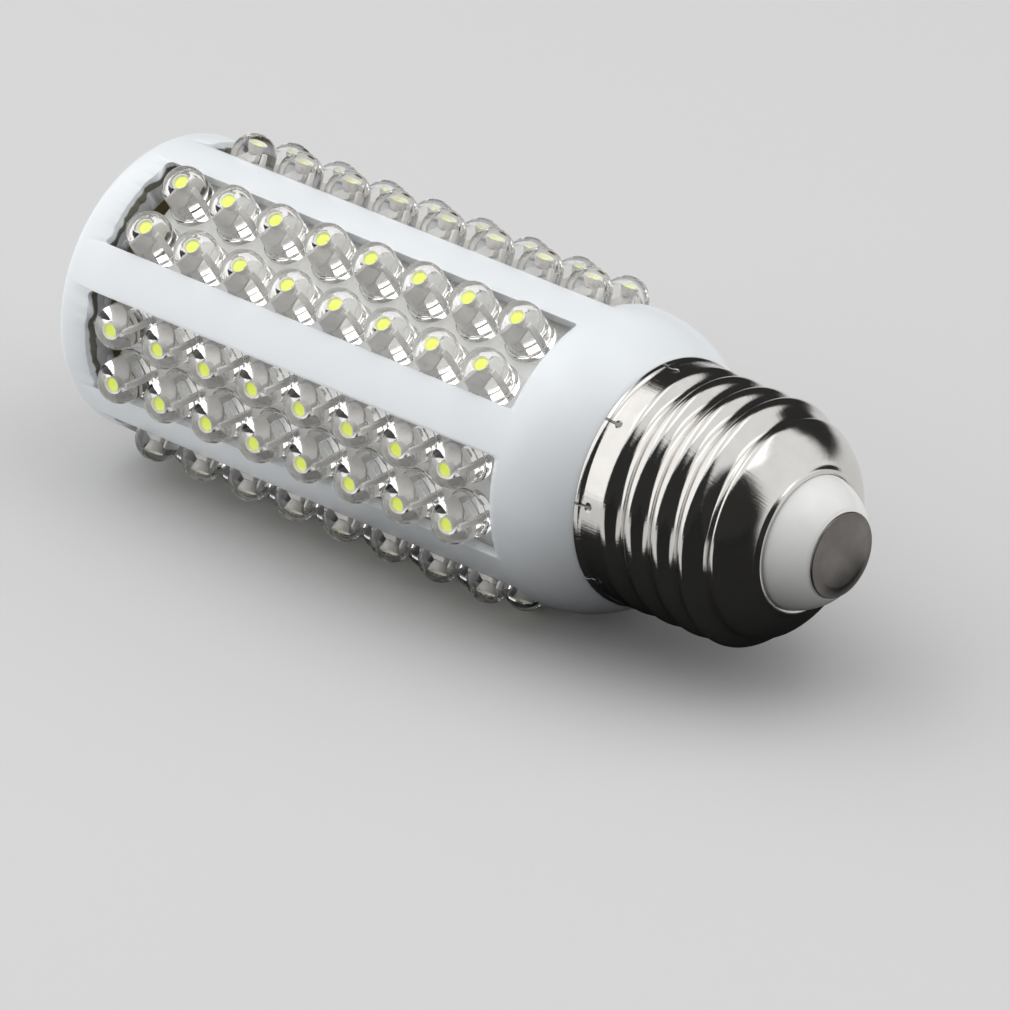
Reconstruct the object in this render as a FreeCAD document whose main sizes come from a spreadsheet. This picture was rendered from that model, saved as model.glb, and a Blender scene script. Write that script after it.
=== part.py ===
import FreeCAD, Part
import math
import os
import Sketcher
from FreeCAD import Placement, Rotation, Vector

# A corn LED bulb with an E27 screw cap, in millimetres. It lies on its side as it comes to rest:
# +X runs along the axis to the centre contact, +Z is up, and a rib of the cage faces down.
# The origin is on the axis, at the face of the centre contact. The rim is the plane where the
# metal shell meets the white plastic; reaches towards the head are measured back from it.

SIZES = (
    # cap
    ("cap_reach", 25.0, "rim to the face of the centre contact"),
    ("crest_radius", 13.2, "outside of the screw thread"),
    ("thread_pitch", 3.629, "E27, seven turns to the inch"),
    ("thread_depth", 1.0, "crest to root"),
    ("first_crest", 3.64, "rim to the first crest, on the side that faces -Y"),
    ("last_crest", 14.53, "rim to the last full crest on that side"),
    ("sheet", 0.35, "thickness of the rolled shell"),
    ("bead_rise", 0.22, "rolled rim bead above the plain band"),
    ("bead_width", 0.5, "length of the rim bead"),
    ("dome_start", 16.2, "rim to the shoulder of the domed end"),
    ("dome_shoulder", 12.2, "radius at that shoulder"),
    ("dome_end", 20.15, "rim to the foot of the dome"),
    ("dome_foot", 8.07, "radius at the foot of the dome"),
    ("dome_radius", 7.5, "arc of the dome"),
    ("lip_face", 20.55, "rim to the flat lip round the insulator"),
    ("lip_hole", 7.32, "radius of the hole in the lip"),
    ("stake_count", 9, "punch marks that hold the shell to the neck"),
    ("stake_turn", 38.0, "degrees from +Z to the first punch mark, towards -Y"),
    ("stake_reach", 1.75, "rim to the punch marks"),
    ("stake_radius", 0.55, "radius of a punch mark"),
    ("stake_depth", 0.2, "depth of a punch mark"),
    # insulator and contact
    ("contact_step", 0.1, "insulator beyond the edge of the contact"),
    ("insulator_bulge", 7.0, "arc of its convex side"),
    ("insulator_play", 0.06, "play between the insulator and the lip"),
    ("insulator_flange", 8.8, "radius of the flange behind the dome"),
    ("flange_back", 17.9, "rim to the back of the flange"),
    ("flange_thick", 1.3, "thickness of the flange"),
    ("contact_radius", 4.63, "radius of the centre contact"),
    ("contact_thick", 0.5, "thickness of its disc"),
    ("crown_width", 1.33, "rounded border of the contact"),
    ("contact_crown", 0.2, "fall from the flat face to the edge"),
    ("shank_radius", 1.2, "rivet shank through the insulator"),
    ("shank_play", 0.06, "play round the shank"),
    ("rivet_radius", 2.1, "turned-over end of the shank"),
    ("rivet_thick", 0.5, "thickness of that end"),
    # housing
    ("body_radius", 16.4, "outside of the cage"),
    ("body_wall", 1.4, "wall of the cage"),
    ("head_reach", 71.6, "rim to the head end"),
    ("head_round", 1.2, "rounding of the head edge"),
    ("window_count", 6, "windows round the cage"),
    ("window_clear", 0.18, "lenses to the side of a window"),
    ("shoulder_band", 0.62, "shoulder to the near end of the windows"),
    ("head_band", 4.3, "head end to the far end of the windows"),
    ("window_corner", 0.4, "corner radius of a window"),
    ("shoulder_reach", 8.2, "rim to the start of the shoulder"),
    ("rim_cover", 0.2, "plastic above the thread crests at the rim"),
    ("band_play", 0.1, "play between the neck and the shell"),
    ("neck_step", 3.0, "length of the neck under the plain band"),
    ("neck_reach", 12.0, "rim to the end of the neck"),
    ("neck_wall", 1.35, "wall of the neck"),
    ("shoulder_floor", 0.5, "rim to the back of the shoulder"),
    ("rail_width", 0.9, "rail between two boards"),
    ("rail_depth", 0.8, "how far a rail stands in from the wall"),
    ("head_wall", 2.6, "wall round the recess for the end board"),
    ("ledge_width", 1.2, "width of the ledge behind the end board"),
    ("recess_depth", 3.4, "head end to the seat of the end board"),
    ("ledge_thick", 0.8, "thickness of the ledge"),
    ("wire_slot", 1.3, "slot in the neck for the shell wire"),
    ("slot_reach", 7.5, "rim to the bottom of that slot"),
    # LED boards
    ("board_drop", 3.55, "outside of the cage to the outer face of a side board"),
    ("board_thick", 1.2, "thickness of the LED boards"),
    ("board_play", 0.25, "play between the edges of two side boards"),
    ("board_lap", 0.62, "how far the boards reach under the shoulder band"),
    ("board_gap", 1.8, "far end of a window to the far end of its board"),
    ("via_radius", 0.45, "plated hole between the rows"),
    ("end_play", 0.15, "play round the end board"),
    ("lead_play", 0.12, "play round a lead in its hole"),
    # LEDs
    ("led_margin", 5.58, "near end of a window to the nearest LEDs"),
    ("led_gap", 1.4, "between two flanges along a row"),
    ("row_gap", 0.75, "centre line of a board to the lenses"),
    ("lens_radius", 2.45, "radius of the lens"),
    ("lens_height", 5.5, "board to the top of the lens"),
    ("flange_width", 0.3, "how far the lens flange stands out"),
    ("flange_height", 0.8, "height of the lens flange"),
    ("flat_clear", 0.05, "lens to the flat that marks the cathode"),
    ("lead_pitch", 2.54, "lead to lead"),
    ("lead_side", 0.5, "side of the square leads"),
    ("lead_tail", 1.0, "lead left behind the board"),
    ("cup_radius", 0.82, "radius of the reflector cup"),
    ("cup_foot", 0.5, "radius of its foot"),
    ("cup_depth", 1.5, "top of the lens to the top of the cup"),
    ("cup_height", 0.8, "height of the cup"),
    ("anvil_waist", 1.2, "board to where the anvil leans towards the cup"),
    ("anvil_back", 1.85, "height of the anvil over its lead"),
    ("anvil_throat", 2.0, "board to the underside of the anvil's arm"),
    ("post_waist", 1.45, "board to where the post leans towards the cup"),
    ("post_tip", 0.4, "width of the post's top"),
    ("phosphor_radius", 0.6, "radius of the phosphor"),
    ("phosphor_thick", 0.3, "depth of the phosphor in the cup"),
    ("end_ring_count", 9, "LEDs on the outer ring of the end board"),
    ("end_margin", 4.05, "edge of the end board to that ring"),
    ("end_core_count", 3, "LEDs in the middle of the end board"),
    ("end_core_radius", 3.7, "radius of that ring"),
    # driver
    ("driver_top", -2.0, "height of the driver board's upper face"),
    ("driver_thick", 1.6, "thickness of the driver board"),
    ("driver_play", 0.15, "play between the driver board and the neck"),
    ("driver_clear", 0.5, "least room between the driver board and the links"),
    ("driver_near", 12.0, "rim to its end in the cap"),
    ("driver_far", 10.0, "rim to its end in the cage"),
    ("pin_radius", 0.3, "radius of component leads"),
    ("pin_tail", 0.9, "component lead left under the board"),
    ("pin_trim", 0.15, "how far a trimmed lead ends inside the board"),
    ("bulk_radius", 4.0, "radius of the smoothing capacitor"),
    ("bulk_height", 10.6, "height of the smoothing capacitor"),
    ("bulk_back", 5.5, "rim back to its centre"),
    ("film_length", 10.0, "length of the film capacitor"),
    ("film_width", 5.0, "width of the film capacitor"),
    ("film_height", 8.0, "height of the film capacitor"),
    ("film_round", 0.6, "rounding of its top edges"),
    ("film_forward", 4.3, "rim forward to its centre"),
    ("film_side", 3.6, "its distance from the axis, towards -Y"),
    ("resistor_radius", 1.15, "radius of an axial resistor"),
    ("resistor_length", 6.0, "length of an axial resistor"),
    ("resistor_span", 8.6, "lead to lead of an axial resistor"),
    ("resistor_lift", 0.3, "gap under a resistor"),
    ("bleeder_near_side", 2.6, "first bleeder's distance towards +Y"),
    ("bleeder_far_side", 6.2, "second bleeder's distance towards +Y"),
    ("fuse_forward", 4.5, "rim forward to the fusible resistor"),
    ("bridge_length", 8.0, "length of the bridge rectifier"),
    ("bridge_width", 6.4, "width of the bridge rectifier"),
    ("bridge_height", 3.0, "height of the bridge rectifier"),
    ("bridge_bevel", 0.5, "bevel of its edges"),
    ("bridge_back", 4.6, "rim back to its centre"),
    # wires
    ("wire_radius", 0.55, "radius of the insulated wires"),
    ("wire_bend", 1.6, "bend of the live wire"),
    ("wire_kink", 0.8, "bend of the other insulated wires"),
    ("neutral_rise", 3.2, "neutral wire straight up from the driver board"),
    ("neutral_lead", 1.2, "length of its slope down to the slot"),
    ("neutral_drop", 2.4, "depth of that slope's start under the shell"),
    ("neutral_end", 0.3, "depth of its end under the shell"),
    ("feed_rise", 3.0, "feed wire straight up from the driver board"),
    ("feed_height", 4.4, "driver board to the end of a feed wire"),
    ("feed_stand", 2.6, "straight end of a feed wire, square to its board"),
    ("link_radius", 0.25, "radius of the bare links"),
    ("link_bend", 0.45, "bend of the bare links"),
    ("link_depth", 1.0, "how far a link stands in from the boards"),
    ("link_margin", 1.4, "edge of a board to a link's foot"),
    ("link_inset", 1.1, "end of a board to its links"),
)

THREAD_ROWS_PER_TURN = 12
THREAD_COLUMNS = 48

document = FreeCAD.newDocument("corn_led_bulb")
sheet = document.addObject("Spreadsheet::Sheet", "sizes")
for row, (alias, value, note) in enumerate(SIZES, start=1):
    sheet.set("A%d" % row, alias)
    sheet.set("B%d" % row, repr(value))
    sheet.setAlias("B%d" % row, alias)
    sheet.set("C%d" % row, note)
document.recompute()


class Size:
    """A number, with the formula that gives it from the sheet's cells."""

    def __init__(self, value, text):
        self.value = value
        self.text = text

    @staticmethod
    def of(other):
        return other if isinstance(other, Size) else Size(float(other), repr(float(other)))

    def joined(self, other, sign, value):
        return Size(value, "(%s %s %s)" % (self.text, sign, Size.of(other).text))

    def __add__(self, other):
        return self.joined(other, "+", self.value + Size.of(other).value)

    def __sub__(self, other):
        return self.joined(other, "-", self.value - Size.of(other).value)

    def __mul__(self, other):
        return self.joined(other, "*", self.value * Size.of(other).value)

    def __truediv__(self, other):
        return self.joined(other, "/", self.value / Size.of(other).value)

    def __radd__(self, other):
        return Size.of(other) + self

    def __rsub__(self, other):
        return Size.of(other) - self

    def __rmul__(self, other):
        return Size.of(other) * self

    def __rtruediv__(self, other):
        return Size.of(other) / self

    def __neg__(self):
        return Size.of(0.0) - self


def root(size):
    return Size(math.sqrt(size.value), "sqrt(%s)" % size.text)


def tangent(degrees):
    return Size(math.tan(math.radians(degrees.value)), "tan(%s)" % degrees.text)


def smaller(one, other):
    return Size(min(one.value, other.value), "min(%s; %s)" % (one.text, other.text))


def whole(size):
    return Size(float(math.floor(size.value)), "floor(%s)" % size.text)


class Cells:
    """The sheet's cells by their aliases."""

    def __getattr__(self, alias):
        return Size(float(sheet.get(alias)), "sizes.%s" % alias)


cell = Cells()
nodes = []

# sizes that follow from the others
rim = -cell.cap_reach
rim_radius = cell.crest_radius + cell.rim_cover
band_radius = cell.crest_radius - cell.sheet - cell.band_play
neck_radius = band_radius - cell.thread_depth
bore_radius = neck_radius - cell.neck_wall
recess_radius = cell.body_radius - cell.head_wall
ledge_radius = recess_radius - cell.ledge_width
ledge_reach = cell.head_reach - cell.recess_depth
end_board_radius = recess_radius - cell.end_play
flange_radius = cell.lens_radius + cell.flange_width
row_offset = cell.lens_radius + cell.row_gap
led_pitch = flange_radius * 2 + cell.led_gap
cup_top = cell.lens_height - cell.cup_depth
half_turn = 180 / cell.window_count
window_width = (row_offset + cell.lens_radius + cell.window_clear) * 2
window_near = cell.shoulder_reach + cell.shoulder_band
window_far = cell.head_reach - cell.head_band
board_face = cell.body_radius - cell.board_drop
board_back = board_face - cell.board_thick
board_width = board_back * tangent(half_turn) * 2 - cell.board_play
board_near = window_near - cell.board_lap
board_far = window_far - cell.board_gap
led_near = window_near + cell.led_margin
led_columns = whole((board_far - led_near - flange_radius) / led_pitch) + 1
driver_low = cell.driver_top - cell.driver_thick
neck_room = root(bore_radius * bore_radius - driver_low * driver_low) - cell.driver_play
cage_room = board_back - cell.link_depth - cell.link_radius - cell.driver_clear
driver_width = smaller(neck_room, cage_room) * 2
sides = int(cell.window_count.value)
side_angles = [half_turn.value * (2 * index + 1) for index in range(sides)]


def bind(thing, **properties):
    for name, size in properties.items():
        size = Size.of(size)
        thing.setExpression(name, size.text)


def keep(thing, label):
    thing.Label = label
    nodes.append(thing)
    return thing


def feature(label, shape, placement=None):
    thing = document.addObject("Part::Feature", label)
    thing.Shape = shape
    if placement is not None:
        thing.Placement = placement
    return keep(thing, label)


def new_body(name):
    return document.addObject("PartDesign::Body", name)


def origin_part(body, role):
    return next(part for part in body.Origin.OriginFeatures if part.Role == role)


def new_sketch(body, name, role, lift=None):
    sketch = body.newObject("Sketcher::SketchObject", name)
    sketch.AttachmentSupport = (origin_part(body, role), [""])
    sketch.MapMode = "FlatFace"
    if lift is not None:
        sketch.AttachmentOffset = Placement(Vector(0, 0, lift.value), Rotation())
        sketch.setExpression(".AttachmentOffset.Base.z", lift.text)
    return sketch


def pin(sketch, edge, end, across, size):
    """Hold one end of an edge at a distance from the sketch's origin."""
    size = Size.of(size)
    if abs(size.value) < 1e-9:
        axis = -2 if across == "DistanceX" else -1
        sketch.addConstraint(Sketcher.Constraint("PointOnObject", edge, end, axis))
        return
    index = sketch.addConstraint(Sketcher.Constraint(across, -1, 1, edge, end, size.value))
    sketch.setExpression("Constraints[%d]" % index, size.text)


def outline(sketch, *corners):
    """Draw a closed outline. A corner is (x, y), or (x, y, radius, turn) where the edge that
    leads to it is an arc: turn is 1 if the arc turns left, and -1 if it turns right."""
    places = [Vector(Size.of(corner[0]).value, Size.of(corner[1]).value, 0) for corner in corners]
    edges = []
    for index, corner in enumerate(corners):
        start = places[index - 1]
        stop = places[index]
        if len(corner) == 2:
            edges.append((sketch.addGeometry(Part.LineSegment(start, stop), False), 1, 2))
            continue
        radius = Size.of(corner[2])
        turn = corner[3]
        chord = stop - start
        middle = (start + stop) * 0.5
        left = Vector(-chord.y, chord.x, 0).normalize()
        height = math.sqrt(max(radius.value ** 2 - chord.Length ** 2 / 4, 0.0))
        centre = middle + left * (height * turn)
        first, last = (start, stop) if turn > 0 else (stop, start)
        begin = math.atan2(first.y - centre.y, first.x - centre.x)
        end = math.atan2(last.y - centre.y, last.x - centre.x)
        if end < begin:
            end += 2 * math.pi
        arc = Part.ArcOfCircle(Part.Circle(centre, Vector(0, 0, 1), radius.value), begin, end)
        edge = sketch.addGeometry(arc, False)
        edges.append((edge, 1, 2) if turn > 0 else (edge, 2, 1))
        held = sketch.addConstraint(Sketcher.Constraint("Radius", edge, radius.value))
        sketch.setExpression("Constraints[%d]" % held, radius.text)
    for index, (edge, start, stop) in enumerate(edges):
        following = edges[(index + 1) % len(edges)]
        joint = Sketcher.Constraint("Coincident", edge, stop, following[0], following[1])
        sketch.addConstraint(joint)
        pin(sketch, edge, stop, "DistanceX", corners[index][0])
        pin(sketch, edge, stop, "DistanceY", corners[index][1])


def block(sketch, left, low, right, high):
    outline(sketch, (left, low), (right, low), (right, high), (left, high))


def ring(sketch, x, y, radius):
    radius = Size.of(radius)
    centre = Vector(Size.of(x).value, Size.of(y).value, 0)
    edge = sketch.addGeometry(Part.Circle(centre, Vector(0, 0, 1), radius.value), False)
    held = sketch.addConstraint(Sketcher.Constraint("Radius", edge, radius.value))
    sketch.setExpression("Constraints[%d]" % held, radius.text)
    pin(sketch, edge, 3, "DistanceX", x)
    pin(sketch, edge, 3, "DistanceY", y)


def revolved(body, name, *corners):
    sketch = new_sketch(body, name + "_outline", "XY_Plane")
    outline(sketch, *corners)
    turned = body.newObject("PartDesign::Revolution", name)
    turned.Profile = sketch
    turned.ReferenceAxis = (sketch, ["H_Axis"])
    turned.Angle = 360.0
    return turned


def padded(body, name, sketch, length, down=False, both=False):
    pad = body.newObject("PartDesign::Pad", name)
    pad.Profile = sketch
    bind(pad, Length=length)
    pad.Reversed = down
    pad.Midplane = both
    return pad


def pocketed(body, name, sketch, length, reverse=False, both=False):
    pocket = body.newObject("PartDesign::Pocket", name)
    pocket.Profile = sketch
    bind(pocket, Length=length)
    pocket.Reversed = reverse
    pocket.Midplane = both
    return pocket


def round_pattern(body, name, original, count):
    pattern = body.newObject("PartDesign::PolarPattern", name)
    pattern.Originals = [original]
    pattern.Axis = (origin_part(body, "X_Axis"), [""])
    pattern.Angle = 360.0
    bind(pattern, Occurrences=count)
    body.Tip = pattern
    return pattern


def row_pattern(body, name, original, count, step):
    pattern = body.newObject("PartDesign::LinearPattern", name)
    pattern.Originals = [original]
    pattern.Direction = (origin_part(body, "X_Axis"), [""])
    pattern.Reversed = True
    bind(pattern, Occurrences=count, Length=step * (count - 1))
    body.Tip = pattern
    return pattern


def bent_wire(points, radius, bend):
    """A round wire along straight runs joined by tangent arcs."""
    edges = []
    start = points[0]
    for before, corner, after in zip(points, points[1:], points[2:]):
        arriving = (corner - before).normalize()
        leaving = (after - corner).normalize()
        turn = arriving.getAngle(leaving)
        setback = bend * math.tan(turn / 2)
        enter = corner - arriving * setback
        leave = corner + leaving * setback
        inward = (leaving - arriving).normalize()
        middle = corner + inward * (bend / math.cos(turn / 2) - bend)
        edges.append(Part.LineSegment(start, enter).toShape())
        edges.append(Part.Arc(enter, middle, leave).toShape())
        start = leave
    edges.append(Part.LineSegment(start, points[-1]).toShape())
    path = Part.Wire(edges)
    section = Part.Wire(Part.makeCircle(radius, points[0], points[1] - points[0]))
    return path.makePipeShell([section], True, True)


def level_arc(run, drop):
    """Radius of an arc that starts level and falls by drop over the run."""
    return (run * run + drop * drop) / (drop * 2)


def housing():
    """The moulded cage: one wall turned round the axis, with windows, rails and a neck."""
    body = new_body("housing")
    head = rim - cell.head_reach
    seat = rim - ledge_reach
    inside = cell.body_radius - cell.body_wall
    shoulder = rim - cell.shoulder_reach
    drop = cell.body_radius - rim_radius
    outer_arc = level_arc(cell.shoulder_reach, drop)
    inner_arc = level_arc(cell.shoulder_reach - cell.shoulder_floor, drop)
    revolved(
        body, "wall",
        (head, recess_radius),
        (head, cell.body_radius - cell.head_round),
        (head + cell.head_round, cell.body_radius, cell.head_round, -1),
        (shoulder, cell.body_radius),
        (rim, rim_radius, outer_arc, -1),
        (rim, band_radius),
        (rim + cell.neck_step, band_radius),
        (rim + cell.neck_step, neck_radius),
        (rim + cell.neck_reach, neck_radius),
        (rim + cell.neck_reach, bore_radius),
        (rim - cell.shoulder_floor, bore_radius),
        (rim - cell.shoulder_floor, inside - drop),
        (shoulder, inside, inner_arc, 1),
        (seat + cell.ledge_thick, inside),
        (seat + cell.ledge_thick, ledge_radius),
        (seat, ledge_radius),
        (seat, recess_radius),
    )
    rail = new_sketch(body, "rail_outline", "XZ_Plane")
    block(rail, seat + cell.ledge_thick, inside - cell.rail_depth, shoulder, inside + cell.body_wall / 4)
    rail_pad = padded(body, "rail", rail, cell.rail_width, both=True)
    round_pattern(body, "rails", rail_pad, cell.window_count)
    window = new_sketch(body, "window_outline", "XY_Plane")
    window.AttachmentOffset = Placement(Vector(), Rotation(Vector(1, 0, 0), half_turn.value))
    window.setExpression(".AttachmentOffset.Rotation.Angle", half_turn.text)
    low = -window_width / 2
    high = window_width / 2
    far = rim - window_far
    near = rim - window_near
    corner = cell.window_corner
    outline(
        window,
        (near - corner, low),
        (near, low + corner, corner, 1),
        (near, high - corner),
        (near - corner, high, corner, 1),
        (far + corner, high),
        (far, high - corner, corner, 1),
        (far, low + corner),
        (far + corner, low, corner, 1),
    )
    cut = pocketed(body, "window", window, cell.body_radius + cell.body_wall, reverse=True)
    round_pattern(body, "windows", cut, cell.window_count)
    slot = new_sketch(body, "slot_outline", "XY_Plane")
    block(slot, rim + cell.slot_reach, -cell.wire_slot / 2, rim + cell.neck_reach + 1, cell.wire_slot / 2)
    slot_cut = pocketed(body, "slot", slot, cell.crest_radius, reverse=True)
    body.Tip = slot_cut
    return keep(body, "housing")


def knuckle(turns):
    """Depth of the rolled thread, 0 on a crest and 1 in a root, from tangent arcs."""
    pitch = cell.thread_pitch.value
    depth = cell.thread_depth.value
    quarter = pitch / 4
    half = depth / 2
    radius = (quarter ** 2 + half ** 2) / (2 * half)
    offset = abs((turns + 0.5) % 1.0 - 0.5) * pitch
    if offset <= quarter:
        fall = radius - math.sqrt(radius ** 2 - offset ** 2)
    else:
        fall = depth - radius + math.sqrt(radius ** 2 - (2 * quarter - offset) ** 2)
    return fall / depth


def smooth(value, low, high):
    share = min(max((value - low) / (high - low), 0.0), 1.0)
    return share * share * (3 - 2 * share)


def shell_line():
    """The shell's meridian without its thread, from the rim to the lip: reach, radius."""
    crest = cell.crest_radius.value
    start = Vector(cell.dome_start.value, cell.dome_shoulder.value, 0)
    foot = Vector(cell.dome_end.value, cell.dome_foot.value, 0)
    chord = foot - start
    inward = Vector(chord.y, -chord.x, 0).normalize()
    radius = cell.dome_radius.value
    centre = (start + foot) * 0.5 + inward * math.sqrt(radius ** 2 - chord.Length ** 2 / 4)
    bead = crest + cell.bead_rise.value
    width = cell.bead_width.value
    line = [(0.0, bead), (width * 0.5, bead), (width, bead), (width * 1.5, crest), (width * 2, crest)]
    step = cell.thread_pitch.value / THREAD_ROWS_PER_TURN
    reach = width * 2 + step
    while reach < start.x:
        share = smooth(reach, cell.last_crest.value, start.x)
        dome = crest
        if share > 0:
            dome = centre.y + math.sqrt(radius ** 2 - (reach - centre.x) ** 2)
        line.append((reach, crest * (1 - share) + dome * share))
        reach += step
    begin = math.atan2(start.y - centre.y, start.x - centre.x)
    end = math.atan2(foot.y - centre.y, foot.x - centre.x)
    count = max(6, round((begin - end) * radius / step))
    for index in range(count + 1):
        angle = begin + (end - begin) * index / count
        line.append((centre.x + radius * math.cos(angle), centre.y + radius * math.sin(angle)))
    face = cell.lip_face.value
    hole = cell.lip_hole.value
    gap = foot.y - hole
    line += [(face - 0.12, foot.y - 0.25 * gap), (face, foot.y - 0.45 * gap), (face, hole + 0.25 * gap), (face, hole)]
    return line


def thread_share(reach):
    """How much of the full thread depth there is at this reach."""
    pitch = cell.thread_pitch.value
    first = cell.first_crest.value
    last = cell.last_crest.value
    rise = smooth(reach, first - pitch / 4, first + pitch / 4)
    return rise * (1 - smooth(reach, last + pitch / 4, last + pitch))


def shell_surface(inset):
    """A closed surface of the shell, moved inwards by inset."""
    line = shell_line()
    pitch = cell.thread_pitch.value
    rows = []
    spread = 3 / (2 + math.cos(2 * math.pi / THREAD_COLUMNS))
    swell = 3 / (2 + math.cos(2 * math.pi / THREAD_ROWS_PER_TURN))
    for index, (reach, radius) in enumerate(line):
        before = line[max(index - 1, 0)]
        after = line[min(index + 1, len(line) - 1)]
        along = Vector(after[0] - before[0], after[1] - before[1], 0).normalize()
        depth = cell.thread_depth.value * thread_share(reach)
        place = reach + along.y * inset
        row = []
        for column in range(THREAD_COLUMNS):
            share = column / THREAD_COLUMNS
            # on this thread the crest moves towards the contact as it turns from +Z to -Y
            turns = (reach - cell.first_crest.value) / pitch - (share - 0.25)
            groove = 0.5 + (knuckle(turns) - 0.5) * swell
            local = (radius - along.x * inset - depth * groove) * spread
            angle = 2 * math.pi * share
            row.append(Vector(rim.value + place, -local * math.sin(angle), local * math.cos(angle)))
        rows.append(row)
    surface = Part.BSplineSurface()
    row_knots = list(range(len(rows) - 2))
    row_mults = [4] + [1] * (len(row_knots) - 2) + [4]
    column_knots = list(range(THREAD_COLUMNS + 1))
    column_mults = [1] * len(column_knots)
    surface.buildFromPolesMultsKnots(
        rows, row_mults, column_mults, row_knots, column_knots, False, True, 3, 3)
    return surface.toShape()


def end_edges(face):
    """The two round edges of a shell surface: the rim's and the lip's."""
    closed = [edge for edge in face.Edges if edge.isClosed()]
    closed.sort(key=lambda edge: edge.CenterOfGravity.x)
    return closed[0], closed[-1]


def stakes():
    """The punch marks: a shallow ball sunk in the plain band, round the axis."""
    radius = cell.stake_radius.value
    depth = cell.stake_depth.value
    ball = (radius ** 2 + depth ** 2) / (2 * depth)
    high = cell.crest_radius.value + ball - depth
    balls = []
    for index in range(int(cell.stake_count.value)):
        mark = Part.makeSphere(ball, Vector(rim.value + cell.stake_reach.value, 0, high))
        turn = cell.stake_turn.value + 360.0 * index / cell.stake_count.value
        mark.rotate(Vector(0, 0, 0), Vector(1, 0, 0), turn)
        balls.append(mark)
    return balls


def screw_shell():
    """The rolled sheet: outer and inner surfaces joined by the cut edges at rim and lip."""
    outer = shell_surface(0.0)
    inner = shell_surface(cell.sheet.value)
    outer_rim, outer_lip = end_edges(outer)
    inner_rim, inner_lip = end_edges(inner)
    faces = [outer, inner]
    faces.append(Part.makeRuledSurface(outer_rim, inner_rim))
    faces.append(Part.makeRuledSurface(outer_lip, inner_lip))
    skin = Part.makeCompound(faces)
    skin.sewShape(1e-4)
    solid = Part.Solid(skin.Shells[0])
    if solid.Volume < 0:
        solid.reverse()
    return feature("screw_shell", solid.cut(Part.makeCompound(stakes())))


def insulator():
    """The glossy cone between shell and contact, with a flange behind the dome."""
    body = new_body("insulator")
    top = -cell.contact_thick
    side = cell.lip_hole - cell.insulator_play
    lip = rim + cell.lip_face
    back = rim + cell.flange_back
    face = back + cell.flange_thick
    bore = cell.shank_radius + cell.shank_play
    revolved(
        body, "cone",
        (top, bore),
        (back, bore),
        (back, cell.insulator_flange),
        (face, cell.insulator_flange),
        (face, side),
        (lip, side),
        (top, cell.contact_radius + cell.contact_step, cell.insulator_bulge, -1),
    )
    return keep(body, "insulator")


def centre_contact():
    """The contact disc and its rivet shank, turned as one."""
    body = new_body("centre_contact")
    back = rim + cell.flange_back
    edge = cell.contact_radius
    fall = cell.contact_crown
    crown = level_arc(cell.crown_width, fall)
    revolved(
        body, "rivet",
        (0, 0),
        (back - cell.rivet_thick, 0),
        (back - cell.rivet_thick, cell.rivet_radius),
        (back, cell.rivet_radius),
        (back, cell.shank_radius),
        (-cell.contact_thick, cell.shank_radius),
        (-cell.contact_thick, edge),
        (-fall, edge),
        (0, edge - cell.crown_width, crown, 1),
    )
    return keep(body, "centre_contact")


def side_board(number, angle):
    """A flat strip with two lead holes for each LED and a plated hole between the rows."""
    name = "side_board_%d" % number
    body = new_body(name)
    low = board_back
    strip = new_sketch(body, name + "_strip", "XY_Plane", low)
    half = board_width / 2
    block(strip, rim - board_far, -half, rim - board_near, half)
    padded(body, name + "_pad", strip, cell.board_thick)
    holes = new_sketch(body, name + "_holes", "XY_Plane", low)
    first = rim - led_near
    reach = cell.lead_side * math.sqrt(0.5) + cell.lead_play
    for row in (-1, 1):
        for lead in (-1, 1):
            ring(holes, first + cell.lead_pitch / 2 * lead, row_offset * row, reach)
    drilled = pocketed(body, name + "_drill", holes, cell.board_thick, reverse=True)
    row_pattern(body, name + "_drills", drilled, led_columns, led_pitch)
    vias = new_sketch(body, name + "_vias", "XY_Plane", low)
    ring(vias, first - led_pitch / 2, 0, cell.via_radius)
    bored = pocketed(body, name + "_via", vias, cell.board_thick, reverse=True)
    row_pattern(body, name + "_via_row", bored, led_columns - 1, led_pitch)
    body.Placement = Placement(Vector(), Rotation(Vector(1, 0, 0), angle))
    return keep(body, name)


def end_places():
    """Where the LEDs stand on the end board: angle round the axis and radius."""
    ring_count = int(cell.end_ring_count.value)
    core_count = int(cell.end_core_count.value)
    outer = [(360.0 * index / ring_count, end_board_radius - cell.end_margin) for index in range(ring_count)]
    core = [(360.0 * index / core_count, cell.end_core_radius) for index in range(core_count)]
    return outer + core


def end_board():
    """The round board in the head's recess."""
    body = new_body("end_board")
    seat = rim - ledge_reach
    disc = new_sketch(body, "end_disc", "YZ_Plane", seat)
    ring(disc, 0, 0, end_board_radius)
    padded(body, "end_pad", disc, cell.board_thick, down=True)
    holes = new_sketch(body, "end_holes", "YZ_Plane", seat)
    reach = cell.lead_side * math.sqrt(0.5) + cell.lead_play
    for angle, radius in end_places():
        turn = math.radians(angle)
        for lead in (-1, 1):
            side = cell.lead_pitch / 2 * lead
            across = side * math.cos(turn) - radius * math.sin(turn)
            up = side * math.sin(turn) + radius * math.cos(turn)
            ring(holes, across, up, reach)
    pocketed(body, "end_drill", holes, cell.board_thick)
    return keep(body, "end_board")


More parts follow.
